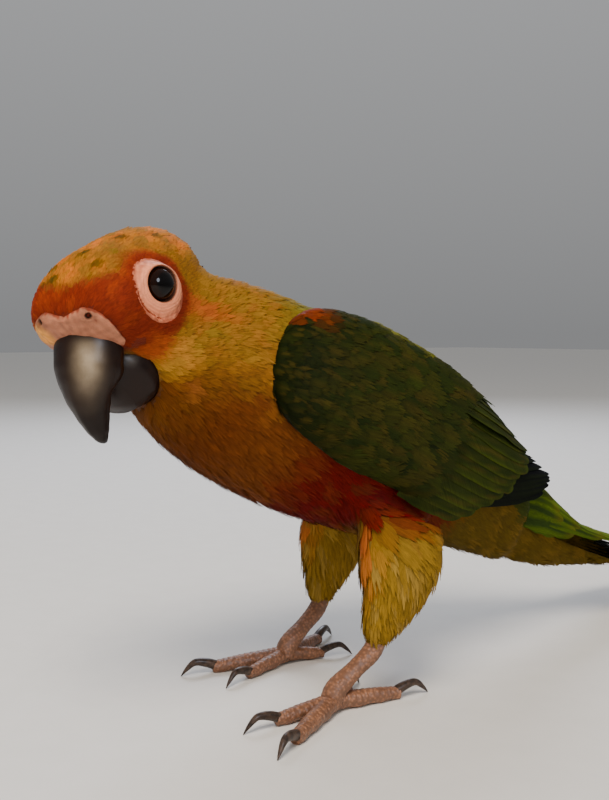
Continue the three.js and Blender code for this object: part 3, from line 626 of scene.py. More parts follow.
PALETTE = {
    "gold_olive": "#866218",
    "olive": "#695F0C",
    "olive_dark": "#303005",
    "fleck": "#323406",
    "head_gold": "#8B591C",
    "crown_orange": "#FE7518",
    "red_orange": "#7F2911",
    "orange": "#A84317",
    "tuft": "#A8622E",
    "tan": "#F7A93F",
    # Partly the chin's own orange-brown, partly painted shade under the head
    "chin": "#5A2702",
    "breast": "#68370E",
    # The belly's red, darkened as painted shade under the body
    "belly": "#5F0701",
    "flank": "#481004",
    "vent": "#534106",
    "mantle": "#73721A",
    "thigh": "#86671A",
    "thigh_front": "#ED5D34",
    "thigh_pale": "#A48640",
    "wing_green": "#1B2503",
    "wing_olive": "#2B3206",
    "wing_brown": "#393109",
    "shoulder": "#872F04",
    "fringe": "#424D09",
    "leaf_green": "#5E7310",
    "tail_green": "#243506",
    "flight_black": "#060709",
    "ring": "#EC946E",
    "lid": "#291C17",
    "cere": "#AC7055",
    # Near-black paint for the shade inside the nostrils
    "nostril": "#1E120E",
    "iris": "#180803",
    "pupil": "#060404",
    "bill_horn": "#1D0D06",
    # Painted highlight: pale sheen painted on the upper bill
    "bill_painted_sheen": "#B09F85",
    "bill_tip": "#130804",
    # Painted highlight: bluish glint painted on the lower bill
    "bill_painted_glint": "#8C8880",
    "bill_clear": "#E4E0DC",
    "bill_worn": "#FFFFFF",
    "claw_dark": "#2A2422",
    "claw_worn": "#5C4C42",
    "floor": "#DAD7D2",
    "floor_worn": "#E2DFDA",
    "air": "#EDEEF0",
    "warm_light": "#FFF4E6",
    "cool_light": "#E6EEFF",
    "leg": "#8E6145",
}


def tone(name):
    """A linear tone of the palette, as the model's colour settings have it."""
    return np.array(getattr(bpy.context.scene.conure_colours, name))


def all_over(shape, name):
    """One tone of the palette at every point of a shape."""
    return np.zeros((*shape, 3)) + tone(name)


def blend(base, name, share):
    """A colour moved towards a tone of the palette by a share."""
    share = np.clip(share, 0, 1)[..., None]
    return base * (1 - share) + tone(name) * share


# Noise of colours and edges: size of its waves in millimetres, and seed
NOISE = {
    "soft": (9, 1), "fine": (3.4, 2), "thigh_streaks": (1.8, 7), "covert_soft": (7, 21),
    "covert_fine": (2.2, 22), "vane_streaks": (2.6, 23), "bare_edge": (1.3, 41),
    "ring_edge": (1.5, 17), "cere_swell": (2.2, 12), "cere_edge": (1.1, 15),
    "cere_tone": (1.6, 14), "bill_sheen_and_tip_noise": (3, 5), "leg_tone": (4, 9),
}
WAVES = 6


def noise(p, name):
    """Smooth seeded noise, mostly between -1 and 1, from a few turned waves."""
    size, seed = NOISE[name]
    rng = np.random.default_rng(seed)
    total = np.zeros(p.shape[:-1])
    for _ in range(WAVES):
        direction = unit(rng.normal(size=3)) * rng.uniform(0.6, 1.5) / size
        total += np.sin(p @ direction * 2 * np.pi + rng.uniform(0, 2 * np.pi))
    return total / 3.2


# Places on the bird

TAIL_LINE_REACH = np.linspace(0, 70, 36)
TAIL_LINE = tail_point(TAIL_LINE_REACH, 0, 0)


def trunk_places(p):
    """Distance along trunk and tail, angle above the flank in radians and side of each point."""
    keep = trunk_axis.points[::20]
    lengths = trunk_axis.lengths[::20]
    flat = p.reshape(-1, 3)
    near = np.empty(len(flat), int)
    for i in range(0, len(flat), 4000):
        part = flat[i:i + 4000]
        far = ((part[:, None, 1:] - keep[None, :, 1:]) ** 2).sum(-1)
        near[i:i + 4000] = far.argmin(1)
    along = lengths[near].reshape(p.shape[:-1])
    centre, _, up, _, _ = trunk_axis.frames(along)
    offset = p - centre
    high = (offset * up).sum(-1)
    past = along > TAIL_START
    reach = np.interp(p[..., 1], TAIL_LINE[:, 1], TAIL_LINE_REACH)
    level = np.interp(p[..., 1], TAIL_LINE[:, 1], TAIL_LINE[:, 2])
    along = np.where(past, TAIL_START + reach, along)
    high = np.where(past, p[..., 2] - level, high)
    return along, np.arctan2(high, np.abs(p[..., 0])), np.sign(p[..., 0])


def wing_places(p):
    """Distance along, arc above the flank, and lift of points near a folded wing."""
    along, _, _ = trunk_places(p)
    centre, _, up, _, _ = trunk_axis.frames(along)
    size = read_table(WING_HULL, along)
    wide = np.abs(p[..., 0]) / size[..., 0]
    high = ((p - centre) * up).sum(-1) / size[..., 1]
    mean = 0.5 * (size[..., 0] + size[..., 1])
    return along, np.arctan2(high, wide) * mean, (np.hypot(wide, high) - 1) * mean


def eye_distance(q):
    """Distance of points of the head's frame from the line of the nearer eye."""
    side = np.where(q[..., 0] >= 0, 1.0, -1.0)
    flip = np.stack([side, np.ones_like(side), np.ones_like(side)], -1)
    aim = eye_way * flip
    offset = q - EYE_PLACE * flip
    depth = (offset * aim).sum(-1)
    return np.linalg.norm(offset - aim * depth[..., None], axis=-1), depth, offset * flip


# Middle of the bare ring, ahead of the left eye's line and below it
RING_SHIFT = np.array((0, -0.6, -0.8))


def ring_distance(q):
    """Distance of points of the head's frame from the middle of the nearer eye ring."""
    _, depth, around = eye_distance(q)
    shift = RING_SHIFT - eye_way * (eye_way @ RING_SHIFT)
    return rounded(np.linalg.norm(around - eye_way * depth[..., None] - shift, axis=-1), depth)


def rounded(far, depth):
    """Distance across the ring, lengthened where the face falls away from the eye."""
    return np.hypot(far, 0.8 * np.minimum(depth - 2.4, 0))


def thigh_distance(p):
    """Distance of points from the middle line of the nearer thigh."""
    far = [from_line(p, *[(x + side * out, y + back, up) for out, back, up in THIGH_LINE])
           for side, x, y, _ in LEGS.values()]
    return np.min(far, axis=0)


def thigh_share(p):
    """How much each point belongs to a thigh, from 0 to 1."""
    return step(THIGH_TOP, THIGH_TOP - 8, p[..., 2]) * step(16, 12, thigh_distance(p))


lower_axis = axis_of(BILL_LOWER, (-1, 0, 0))


def in_lower_bill(q, grow):
    """Whether points of the head's frame lie inside the lower bill, grown all round."""
    middle = lower_axis.points[::80]
    lengths = lower_axis.lengths[::80]
    near = ((q[..., None, 1:] - middle[:, 1:]) ** 2).sum(-1).argmin(-1)
    centre, along, up, _, size = lower_axis.frames(lengths[near])
    offset = q - centre
    wide = np.abs(q[..., 0]) / (size[..., 0] + grow)
    high = (offset * up).sum(-1)
    tall = high / (np.where(high > 0, size[..., 1], size[..., 2]) + grow)
    power = np.where(high > 0, 2 / BILL_SHOULDER, 2)
    inside = wide ** power + tall ** 2 < 1
    return inside & (np.abs((offset * along).sum(-1)) < 1.5 + grow)


def mirrored(q):
    """Points of the head's frame, brought to its left side."""
    return np.concatenate([np.abs(q[..., :1]), q[..., 1:]], -1)


def from_line(q, start, end):
    """Distance of points from a line between two points."""
    start, way = np.array(start, float), np.array(end, float) - np.array(start, float)
    t = np.clip(((q - start) @ way) / (way @ way), 0, 1)
    return np.linalg.norm(q - start - t[..., None] * way, axis=-1)


def spot(q, centre, inner, outer):
    """1 within the inner distance of a place, 0 beyond the outer one."""
    return step(outer, inner, reach_from(q, centre))


# Markings, shared by the skin and the coat

# Marks in the order in which they are laid: tone, share, and the measures by which each fades,
# with where it starts and where it is full
TRUNK_MARKS = [
    ("breast", 1, [("along", 8, 28), ("turn", 0.3, -0.55)]),
    # Painted shade along the underside of the neck, in the chin's tone
    ("chin", 0.6, [("along", 6, 14), ("along", 34, 22), ("turn", -0.2, -0.8)]),
    # Belly red, its tone darkened as painted shade under the body
    ("belly", 1, [("wavy", 38, 56), ("turn", 0.05, -0.35)]),
    ("breast", 0.35, [("along", 40, 60), ("fine", 0.1, 0.7)]),
    ("flank", 0.8, [("along", 44, 58), ("turn", 0.25, 0), ("turn", -0.5, -0.2)]),
    ("vent", 1, [("uneven", 88, 102), ("turn", 0.5, 0.2)]),
    ("gold_olive", 0.25, [("along", 100, 112), ("fine", 0, 0.8), ("turn", 0.3, -0.1)]),
    ("olive", 1, [("along", 24, 40), ("turn", 0.4, 0.8)]),
    ("mantle", 0.6, [("along", 28, 44), ("turn", 0.5, 0.8), ("turn", 1.25, 0.95)]),
    ("olive_dark", 0.7, [("along", 34, 56), ("turn", 0.75, 1.2), ("fine", -0.4, 0.6)]),
    ("leaf_green", 0.85, [("along", 98, 114), ("turn", 0.1, 0.35)]),
    ("tail_green", 0.85, [("along", 112, 122), ("turn", -0.25, 0), ("turn", 0.75, 0.45)]),
]
THIGH_MARKS = [
    ("thigh", 1, []),
    ("thigh_pale", 0.5, [("streak", 0.1, 0.9), ("height", 40, 30)]),
    ("thigh_front", 0.7, [("past_front", 2.5, -2.5), ("streak", 0.9, -0.2)]),
]
CROWN_MARKS = [
    ("crown_orange", 0.55, [("high", 5, 9), ("mottled", -0.6, 0.8)]),
    ("olive", 0.5, [("high", 5, 9), ("fine", -0.1, 0.7)]),
    ("olive", 0.35, [("high", 2, -6), ("fine", -0.2, 0.8)]),
]
CHIN_MARKS = [
    # Painted shade under the bill, in the chin's tone
    ("chin", 0.85, [("high", -12, -17), ("back", 14, 2)]),
    # Painted light: paler tan on the lower cheek, where it is lit
    ("tan", 0.3, [("to_cheek", 9, 0)]),
]
COVERT_MARKS = [
    ("wing_brown", 0.45, [("along", 30, 48), ("along", 110, 84), ("mottled", -0.1, 0.9)]),
]
WING_EDGE_MARKS = [
    ("mantle", 0.7, [("across_fine", 26.5, 30)]),
    ("shoulder", 0.85, [("along", 44, 34), ("across_ragged", 15, 20)]),
]
VANE_MARKS = [
    ("wing_brown", 0.7, [("streak", 0.25, 0.9)]),
    ("flight_black", 0.45, [("c", 0.1, 0.6)]),
    ("fringe", 0.5, [("c", -0.66, -0.95), ("u", 0.2, 0.5)]),
    ("fringe", 0.4, [("u", 0.93, 1)]),
]
TERTIAL_MARKS = [("mantle", 0.6, [("across", 25, 29)])]
# Dark flecks of the crown: place on the head and radius
FLECKS = [
    ((0.2, -6.1, 14.4), 1.5), ((5.3, -9.7, 12.4), 1.2), ((3.4, 3.3, 14.5), 1.8),
    ((7.5, 9.8, 12.6), 1.5), ((-3.5, -13.4, 11.4), 1.6), ((-6.2, -8.4, 12.2), 1.3),
    ((-4.2, 1.6, 14.6), 1.4), ((-8.4, 7.2, 12.8), 1.6), ((1.5, -1.4, 15), 1.0),
    ((-1.2, 8.6, 14.6), 1.3), ((-6.4, -13.4, 9.8), 1.2),
]
# Other places of the head's markings, on its left side but for the tan one beside the cere; the first
# is a patch of painted light on the lower cheek
PAINTED_LIGHT_CHEEK = (11.8, -4.5, -9.5)
BELOW_EYE = (11, -7.4, -5.4)
EYE_STREAK = ((13.5, 3, -1), (20, 9, -7))
FAR_CHEEK = (-6.4, -16.2, 1)
THROAT_TUFT = (15.2, -3.8, -18.4)
# Front of the left and the right thigh at their middle height, and its lean
THIGH_FRONTS = (7.5, 16.5)
THIGH_MIDDLE = 30
THIGH_LEAN = 0.12


def lay_marks(colour, marks, measures, within=1.0):
    """Lays marks over a colour, each faded by its measures and kept within a share."""
    for name, share, fades in marks:
        for key, start, full in fades:
            share = share * step(start, full, measures[key])
        colour = blend(colour, name, within * share)
    return colour


def trunk_markings(p, soft, fine):
    """Golden neck, brown-orange breast to a red belly, yellow-olive vent, olive back, thighs."""
    along, angle, _ = trunk_places(p)
    front = np.where(p[..., 0] > 0, *THIGH_FRONTS) + THIGH_LEAN * (p[..., 2] - THIGH_MIDDLE)
    measures = dict(
        along=along, wavy=along + 3 * soft, uneven=along + 2 * soft, fine=fine,
        turn=angle + 0.14 * soft + 0.05 * fine, height=p[..., 2], past_front=p[..., 1] - front,
        streak=noise(p * np.array([1, 1, 0.2]), "thigh_streaks"))
    colour = blend(all_over(p.shape[:-1], "gold_olive"), "head_gold", 0.5 + 0.5 * fine)
    colour = lay_marks(colour, TRUNK_MARKS, measures)
    return lay_marks(colour, THIGH_MARKS, measures, thigh_share(p))


def head_markings(q, soft, fine):
    """Gold and olive crown with dark flecks, red-orange face and eye ring, orange cheek."""
    left = mirrored(q)
    measures = dict(high=q[..., 2], back=q[..., 1], fine=fine, mottled=0.7 * soft + 0.6 * fine,
                    to_cheek=reach_from(left, PAINTED_LIGHT_CHEEK))
    colour = blend(all_over(q.shape[:-1], "head_gold"), "gold_olive", 0.5 + 0.6 * soft)
    colour = lay_marks(colour, CROWN_MARKS, measures)
    for place, radius in FLECKS:
        colour = blend(colour, "fleck", 0.85 * spot(q, place, 0.5 * radius, 1.6 * radius))
    colour = lay_marks(colour, CHIN_MARKS, measures)
    behind = step(3.4, 0.8, from_line(left, *EYE_STREAK) + 0.6 * fine)
    below = spot(left, BELOW_EYE, 3, 6.4)
    colour = blend(colour, "orange", 0.85 * np.maximum(below, 0.7 * behind))
    band = step(-6.6, -9.4, q[..., 1]) * step(10.4, 8.4, q[..., 2] + 0.7 * soft + 0.3 * fine)
    band = band * step(-6.5, -4.5, q[..., 2])
    _, depth, _ = eye_distance(q)
    rim = step(9.8, 7.6, ring_distance(q) + 0.5 * soft) * step(-7, -3, depth)
    red = np.maximum(band, rim)
    colour = blend(colour, "red_orange", red)
    colour = blend(colour, "orange", 0.35 * red * step(0, 0.8, fine))
    colour = blend(colour, "tan", 0.85 * spot(q, FAR_CHEEK, 2.2, 4.6))
    return blend(colour, "tuft", 0.7 * spot(q, THROAT_TUFT, 1.2, 3.4))


def markings(p):
    """Linear colour of the plumage at points of the bird's frame."""
    p = np.asarray(p, float)
    q = to_head(p)
    soft, fine = noise(p, "soft"), noise(p, "fine")
    head = step(27, 20, reach_from(q, SKULL_MIDDLE))[..., None]
    return trunk_markings(p, soft, fine) * (1 - head) + head_markings(q, soft, fine) * head


def covert_markings(p):
    """Linear colour of the small wing coverts: dark green, mottled with olive and brown."""
    along, across, _ = wing_places(p)
    soft, fine = noise(p, "covert_soft"), noise(p, "covert_fine")
    measures = dict(along=along, mottled=0.6 * soft + 0.7 * fine, across_fine=across + fine,
                    across_ragged=across + 2 * fine)
    colour = blend(all_over(p.shape[:-1], "wing_green"), "wing_olive", 0.5 + 0.6 * fine)
    colour = lay_marks(colour, COVERT_MARKS, measures)
    # The front of the wing lies in the shade of the neck's feathers
    colour = colour * (0.5 + 0.5 * step(32, 60, along))[..., None]
    return lay_marks(colour, WING_EDGE_MARKS, measures)


# Skin

# Depth by distance from the bill, on the thighs, and more of it round each eye ring
COAT_DEPTH = [(4, 0.2), (10, 0.5), (20, 0.8), (34, 1.3), (55, 1.9), (80, 2.2)]
THIGH_DEPTH = 1.1
RING_DEPTH = 2.6


def coat_depth(p):
    """How far the skin lies inside the outline."""
    q = to_head(p)
    depth = read_pairs(COAT_DEPTH, reach_from(q, BILL_ROOT))
    thigh = thigh_share(p)
    depth = depth * (1 - thigh) + THIGH_DEPTH * thigh
    _, ahead, _ = eye_distance(q)
    return depth + RING_DEPTH * step(6.2, 4.8, ring_distance(q)) * step(-4, -1, ahead)


class Surface:
    """A finished mesh, read for its nearest points and smooth normals."""

    def __init__(self, obj):
        mesh = obj.data
        mesh.calc_loop_triangles()
        tris = np.empty(len(mesh.loop_triangles) * 3, np.int32)
        mesh.loop_triangles.foreach_get("vertices", tris)
        self.tris = tris.reshape(-1, 3)
        self.points = bird_points(obj)
        self.normals = mesh_normals(obj)
        self.tree = BVHTree.FromPolygons(self.points.tolist(), self.tris.tolist())

    def nearest(self, p):
        """The nearest places of the surface to points, with smooth normals."""
        flat = p.reshape(-1, 3)
        hit = [self.tree.find_nearest(Vector(row)) for row in flat.tolist()]
        place = np.array([h[0][:] for h in hit])
        corner = self.tris[[h[2] for h in hit]]
        away = np.linalg.norm(self.points[corner] - place[:, None], axis=-1)
        weight = 1 / (away + 0.05)
        normal = unit((self.normals[corner] * weight[..., None]).sum(1))
        return place.reshape(p.shape), normal.reshape(p.shape)

    def height_over(self, place, way, start, missed):
        """Height of the surface over a place of the head's frame, looked for from outside."""
        seen_from = Vector(from_head(place + way * start))
        hit = self.tree.ray_cast(seen_from, Vector(-(head_turn @ way)))
        return start - hit[3] if hit[0] else missed

    def scatter(self, share, rng, density):
        """Points spread over the faces by a density at their middle, with their normals."""
        corners = self.points[self.tris]
        area = np.linalg.norm(np.cross(corners[:, 1] - corners[:, 0], corners[:, 2] - corners[:, 0]),
                              axis=1) / 2
        need = area * density(corners.mean(1))
        pick = rng.choice(len(area), int(share * need.sum()), p=need / need.sum())
        a, b = rng.random((2, len(pick)))
        over = a + b > 1
        a, b = np.where(over, 1 - a, a), np.where(over, 1 - b, b)
        weight = np.stack([1 - a - b, a, b], -1)[..., None]
        return ((corners[pick] * weight).sum(1),
                unit((self.normals[self.tris[pick]] * weight).sum(1)))


@cache
def skin():
    """The skin's surface, read once from its object."""
    return Surface(bpy.data.objects["skin"])


# Room round the lower bill, the thigh's growth into the body, and the reach in metres within
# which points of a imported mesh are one
MOUTH_GAP = 0.15
THIGH_GROWTH = 0.4
MERGE_REACH = 1e-5
# Share of the plumage's colour left on the skin: painted shade, so that skin seen between the
# feathers reads as their shadow
SKIN_PAINTED_SHADE = 0.55


class CONURE_OT_skin(bpy.types.Operator):
    """One skin over head, neck, trunk and thighs, inside the coat by its depth"""

    bl_idname = "conure.skin"
    bl_label = "Skin"

    def execute(self, context):
        parts = [
            closed_body("trunk_form", *loft_rings(trunk_axis, 60, 48, end=TAIL_START)),
            self.tail_form(),
            closed_body("head_form", *self.placed(loft_rings(head_axis, 40, 40, HEAD_JOWL))),
        ]
        for side in (1, -1):
            centre = (side * CHEEK[0][0], CHEEK[0][1], CHEEK[0][2])
            parts.append(egg("cheek_form", centre, CHEEK[1]))
        for name in ("thigh_left", "thigh_right"):
            copy = linked_object(name + "_form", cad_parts[name].data.copy())
            edit_all(copy, bpy.ops.mesh.remove_doubles, threshold=MERGE_REACH)
            set_points(copy, bird_points(copy) + THIGH_GROWTH * mesh_normals(copy))
            parts.append(copy)
        select_only(*parts)
        bpy.ops.object.join()
        obj = context.object
        obj.name = "skin"
        settings = context.scene.conure_coat
        add_modifier(obj, "REMESH", mode="VOXEL", voxel_size=settings.skin_grain)
        add_modifier(obj, "SMOOTH", factor=0.5, iterations=18)
        self.ease_thighs(obj)
        p = bird_points(obj)
        set_points(obj, p - mesh_normals(obj) * coat_depth(p)[:, None])
        add_modifier(obj, "SMOOTH", factor=0.5, iterations=3)
        rings = loft_rings(lower_axis, 40, 40, 1.0, BILL_SHOULDER)
        mouth = closed_body("mouth_form", *self.placed(rings))
        set_points(mouth, bird_points(mouth) + MOUTH_GAP * mesh_normals(mouth))
        add_modifier(obj, "BOOLEAN", operation="DIFFERENCE", object=mouth, solver="EXACT")
        bpy.data.objects.remove(mouth)
        # Painted shade: the skin takes the plumage's markings, darkened, where it shows between
        # feathers
        paint(obj.data, markings(bird_points(obj)) * SKIN_PAINTED_SHADE)
        obj.data.shade_smooth()
        finish_piece(obj, bare_skin_material(), "plumage_olive",
                     ("head", "neck", "torso", "rump", "thigh_left", "thigh_right"))
        return {"FINISHED"}

    @staticmethod
    def ease_thighs(obj):
        """Rounds the step between each thigh and the body."""
        p = bird_points(obj)
        share = step(17, 13, thigh_distance(p)) * step(28, 36, p[:, 2]) * step(56, 48, p[:, 2])
        group = obj.vertex_groups.new(name="thigh_top")
        for i in np.flatnonzero(share > 0.02).tolist():
            group.add([i], float(share[i]), "REPLACE")
        add_modifier(obj, "SMOOTH", factor=0.5, iterations=60, vertex_group="thigh_top")
        obj.vertex_groups.clear()

    @staticmethod
    def placed(rings):
        """Rings and end points of the head's frame in the bird's frame."""
        return tuple(from_head(part) for part in rings)

    @staticmethod
    def tail_form():
        """Root of the tail, which runs on from the rump and thins out under the vanes."""
        at = np.linspace(TAIL_ROOT[0][0], TAIL_ROOT[-1][0], 24)
        size = read_table(TAIL_ROOT, at)
        angle = 2 * np.pi * np.arange(36) / 36
        d = np.sin(angle)[None]
        tall = np.where(d > 0, d * size[:, 1:2], d * size[:, 2:3])
        rings = tail_point(at[:, None], np.cos(angle)[None] * size[:, :1], tall)
        return closed_body("tail_form", rings, rings[0].mean(0), rings[-1].mean(0))


# Coat

# Feather length by distance from the bill, round the eye at most, and on the thighs by height
FEATHER_LENGTH = [(3, 1.7), (9, 2.4), (16, 3.6), (26, 5), (38, 6.4), (55, 8.2), (80, 9.5)]
FACE_LENGTH = 1.9
PLUME_LENGTH = [(12, 4.5), (22, 8), (44, 9.5)]
# Kinds of feather: strips of barbs, quads along each, width and spacing as shares of the length,
# lift at root and tip, loose barbs, raggedness, and brightness at root and tip
FEATHER_KINDS = {
    "face": dict(strips=7, rows=4, width=0.46, spacing=0.2, low=0.15, high=1.5, fluff=0.05,
                 ragged=0.07, gradient=(0.74, 1.04)),
    "body": dict(strips=9, rows=5, width=0.44, spacing=0.19, low=0.15, high=1.4, fluff=0.12,
                 ragged=0.07, gradient=(0.78, 1.03)),
    "plume": dict(strips=7, rows=5, width=0.3, spacing=0.15, low=0.15, high=1.2, fluff=0.25,
                  ragged=0.12, gradient=(0.76, 1.05)),
    "covert": dict(strips=11, rows=5, width=0.62, spacing=0.27, low=0.1, high=1.1, fluff=0.06,
                   ragged=0.045, gradient=(0.72, 1.06), root=0.55, shaft="wing_brown"),
}
# Rows of the net under each feather, and the row whose markings the feather shows
NET_ROWS = 5
TINT_ROW = 3
STRIP_OVERLAP = 0.7
LEAST_LIFT = 0.05
# Size of each feather's patch on the OFBake map
BAKE_PATCH = 0.003
MOUTH_CORNER = (8.8, -10.6, -3.8)


def feather_length(p):
    """Length of the feathers rooted at points: shortest on the face, longest on the belly."""
    q = to_head(p)
    length = read_pairs(FEATHER_LENGTH, reach_from(q, BILL_ROOT))
    near_eye, depth, _ = eye_distance(q)
    face = step(12, 6.5, near_eye) * step(-6, -2, depth)
    length = length * (1 - face) + np.minimum(length, FACE_LENGTH) * face
    length = length * (1 - 0.5 * spot(mirrored(q), MOUTH_CORNER, 3, 6.5))
    thigh = thigh_share(p)
    return length * (1 - thigh) + read_pairs(PLUME_LENGTH, p[..., 2]) * thigh


def feather_flow(p, normals):
    """Direction in which the feathers lie, along the skin."""
    q = to_head(p)
    head = step(30, 18, reach_from(q, SKULL_MIDDLE))[..., None]
    away = unit(unit(q - np.array([0, -15, -1])) + np.array([0, 0.55, -0.1])) @ head_turn.T
    along, angle, _ = trunk_places(p)
    _, axis_way, up, _, _ = trunk_axis.frames(along)
    back = unit(axis_way - up * (0.25 * step(0.4, -0.4, angle))[..., None])
    thigh = thigh_share(p)[..., None]
    way = away * head + back * (1 - head)
    way = way * (1 - thigh) + np.array([0, 0.08, -1.0]) * thigh
    return along_surface(way, normals)


def along_surface(way, normals):
    """Ways turned into a surface, at a length of 1."""
    return unit(way - normals * (way * normals).sum(-1, keepdims=True))


def spaced(points, spacing):
    """Keeps points, in their order, that stand at least their spacing apart."""
    tree = KDTree(len(points))
    for i, row in enumerate(points.tolist()):
        tree.insert(row, i)
    tree.balance()
    alive = np.ones(len(points), bool)
    kept = []
    for i, row in enumerate(points.tolist()):
        if alive[i]:
            kept.append(i)
            for _, j, _ in tree.find_range(row, spacing[i]):
                alive[j] = False
    return np.array(kept)


def lay_net(surface, roots, normals, flow, length, width):
    """A net of points and normals on a surface for each feather: rows along it, three across."""
    points = np.empty((len(roots), NET_ROWS, 3, 3))
    upright = np.empty_like(points)
    place, normal, way = roots, normals, flow
    for k in range(NET_ROWS):
        if k:
            place, normal = surface.nearest(place + way * (length / (NET_ROWS - 1))[:, None])
            way = along_surface(way, normal)
        side = np.cross(normal, way)
        points[:, k, 1], upright[:, k, 1] = place, normal
        for column, sign in ((0, -1), (2, 1)):
            reach = place + side * (sign * width / 2)[:, None]
            points[:, k, column], upright[:, k, column] = surface.nearest(reach)
    return points, upright


def read_net(net, u, v):
    """A net read at shares u of its length and v of its half width, both smooth."""
    nodes = np.linspace(0, 1, NET_ROWS)
    along = np.ones(u.shape + (NET_ROWS,))
    for i in range(NET_ROWS):
        for j in range(NET_ROWS):
            if j != i:
                along[..., i] *= (u - nodes[j]) / (nodes[i] - nodes[j])
    across = np.stack([v * (v - 1) / 2, 1 - v * v, v * (v + 1) / 2], -1)
    return np.einsum("f...i,f...j,fijk->f...k", along, across, net, optimize=True)


def strip_shares(kind, count, rng):
    """Shares u along and v across a feather at the points of its strips of barbs."""
    strips, rows = kind["strips"], kind["rows"] + 1
    at = 1 - (1 - np.linspace(0, 1, rows)) ** 1.3
    taper = np.interp(at, [0, 0.78, 0.92, 1], [1, 0.95, 0.62, 0.1])
    a = np.linspace(-1, 1, strips)
    reach = 1 - 0.34 * np.abs(a) ** 2.2 + rng.normal(0, kind["ragged"], (count, strips))
    u = reach[..., None] * at
    root = kind.get("root", 0.26)
    spread = root + (0.96 - root) * np.sin(at * np.pi / 2)
    middle = a[None, :, None] * spread + rng.normal(0, 0.05, (count, strips, 1)) * at ** 2
    half = STRIP_OVERLAP * 2 / (strips - 1) * spread * taper
    v = np.stack([middle - half, middle + half], -1)
    return np.broadcast_to(u[..., None], v.shape), v


def strip_lift(kind, u, v, length, rng):
    """Height of the strips over the surface: domed, loose at the tip, each over the last."""
    count, strips = u.shape[:2]
    thick = (length / 10)[:, None, None, None]
    lift = (kind["low"] + (kind["high"] - kind["low"]) * u ** 1.15 - 0.25 * v * v * u) * thick
    lift = lift + 0.04 * thick * np.array([-1, 1])
    fluff = kind["fluff"] * bpy.context.scene.conure_coat.fluff
    lift = lift + fluff * rng.uniform(-0.4, 1, (count, strips, 1, 1)) * u ** 3
    lift = lift + rng.normal(0, 0.1, (count, 1, 1, 1)) * thick
    return np.maximum(lift, LEAST_LIFT).reshape(count, -1)


def strip_colours(kind, base, u, v, rng):
    """Colours of the strips: darker at the root, uneven from barb to barb, some with a shaft."""
    count = len(u)
    if "shaft" in kind:
        streak = step(0.75, 0.1, np.abs(v + rng.normal(0, 0.35, (count, 1)))) * step(0.2, 0.6, u)
        base = blend(base, kind["shaft"], 0.8 * rng.random((count, 1)) * streak)
    shade = rng.normal(1, 0.055, (count, 1)) * rng.normal(1, 0.03, (count, 1))
    low, high = kind["gradient"]
    strip_shade = rng.normal(1, 0.06, (count, kind["strips"]))
    strip_shade = np.repeat(strip_shade, u.shape[1] // kind["strips"], axis=1)
    return base * (shade * (low + (high - low) * u ** 0.8) * strip_shade)[..., None]


def strip_faces(kind, count):
    """Quads of every feather's strips."""
    rows = kind["rows"] + 1
    first = 2 * (np.arange(kind["strips"])[:, None] * rows + np.arange(rows - 1)).reshape(-1, 1)
    quads = first + np.array([0, 1, 3, 2])
    start = np.arange(count)[:, None, None] * (kind["strips"] * rows * 2)
    return (quads[None] + start).reshape(-1, 4)


def grow_feathers(name, bed, seed, kind, place_uv, tint=None):
    """Feathers of barb strips that lie along a surface, as one mesh object with its UV maps.

    The bed holds the surface, then for each feather its root, normal, flow and length."""
    surface, roots, normals, flow, length = bed
    kind = FEATHER_KINDS[kind]
    rng = np.random.default_rng(seed)
    count = len(roots)
    length = length * rng.uniform(0.86, 1.14, count)
    width = length * kind["width"] * rng.uniform(0.9, 1.12, count)
    flow = unit(flow + np.cross(normals, flow) * rng.normal(0, 0.1, count)[:, None])
    points, upright = lay_net(surface, roots, normals, flow, length, width)
    u, v = strip_shares(kind, count, rng)
    lift = strip_lift(kind, u, v, length, rng)
    u, v = u.reshape(count, -1), v.reshape(count, -1)
    verts = read_net(points, u, v) + unit(read_net(upright, u, v)) * lift[..., None]
    base = (tint or markings)(points[:, TINT_ROW, 1])[:, None]
    colours = strip_colours(kind, base, u, v, rng)
    barb = np.stack([v * width[:, None] / 2, u * length[:, None]], -1)
    barb = barb + rng.uniform(0, 40, (count, 1, 2))
    patch = place_uv(roots)[:, None] + BAKE_PATCH * np.stack([0.5 * v, u - 0.5], -1)
    return new_object(name, verts, strip_faces(kind, count), colours.reshape(-1, 3),
                      {"OFBake": np.clip(patch, 0, 1).reshape(-1, 2), "Barb": barb.reshape(-1, 2)})


def head_unwrap(p):
    """Places on a round unwrap of the head: turn about its long axis, and way from the bill."""
    q = to_head(p)
    turn = np.arctan2(q[..., 0], q[..., 2]) / (2 * np.pi) + 0.5
    back = np.arctan2(np.hypot(q[..., 0], q[..., 2]), -q[..., 1]) / np.pi
    return np.stack([0.02 + 0.96 * turn, 0.02 + 0.96 * back], -1)


def trunk_unwrap(p):
    """Places on the trunk unrolled: distance along it, and turn about its axis."""
    along, angle, side = trunk_places(p)
    turn = (side * (np.pi / 2 - angle)) / (2 * np.pi) + 0.5
    return np.stack([0.02 + 0.96 * along / trunk_axis.total, 0.02 + 0.96 * turn], -1)


# Middle of the left and the right thigh, seen from above
THIGH_MIDDLES = ([[17.5, 14.0]], [[-15.5, 23.0]])


def thigh_unwrap(p):
    """Places on a thigh unrolled: height, and turn about its middle."""
    p = np.asarray(p, float)
    centre = np.where(p[..., :1] > 0, *THIGH_MIDDLES)
    turn = np.arctan2(p[..., 0] - centre[..., 0], p[..., 1] - centre[..., 1]) / (2 * np.pi) + 0.5
    return np.stack([0.02 + 0.96 * turn, 0.02 + 0.96 * np.clip(p[..., 2] / 60, 0, 1)], -1)


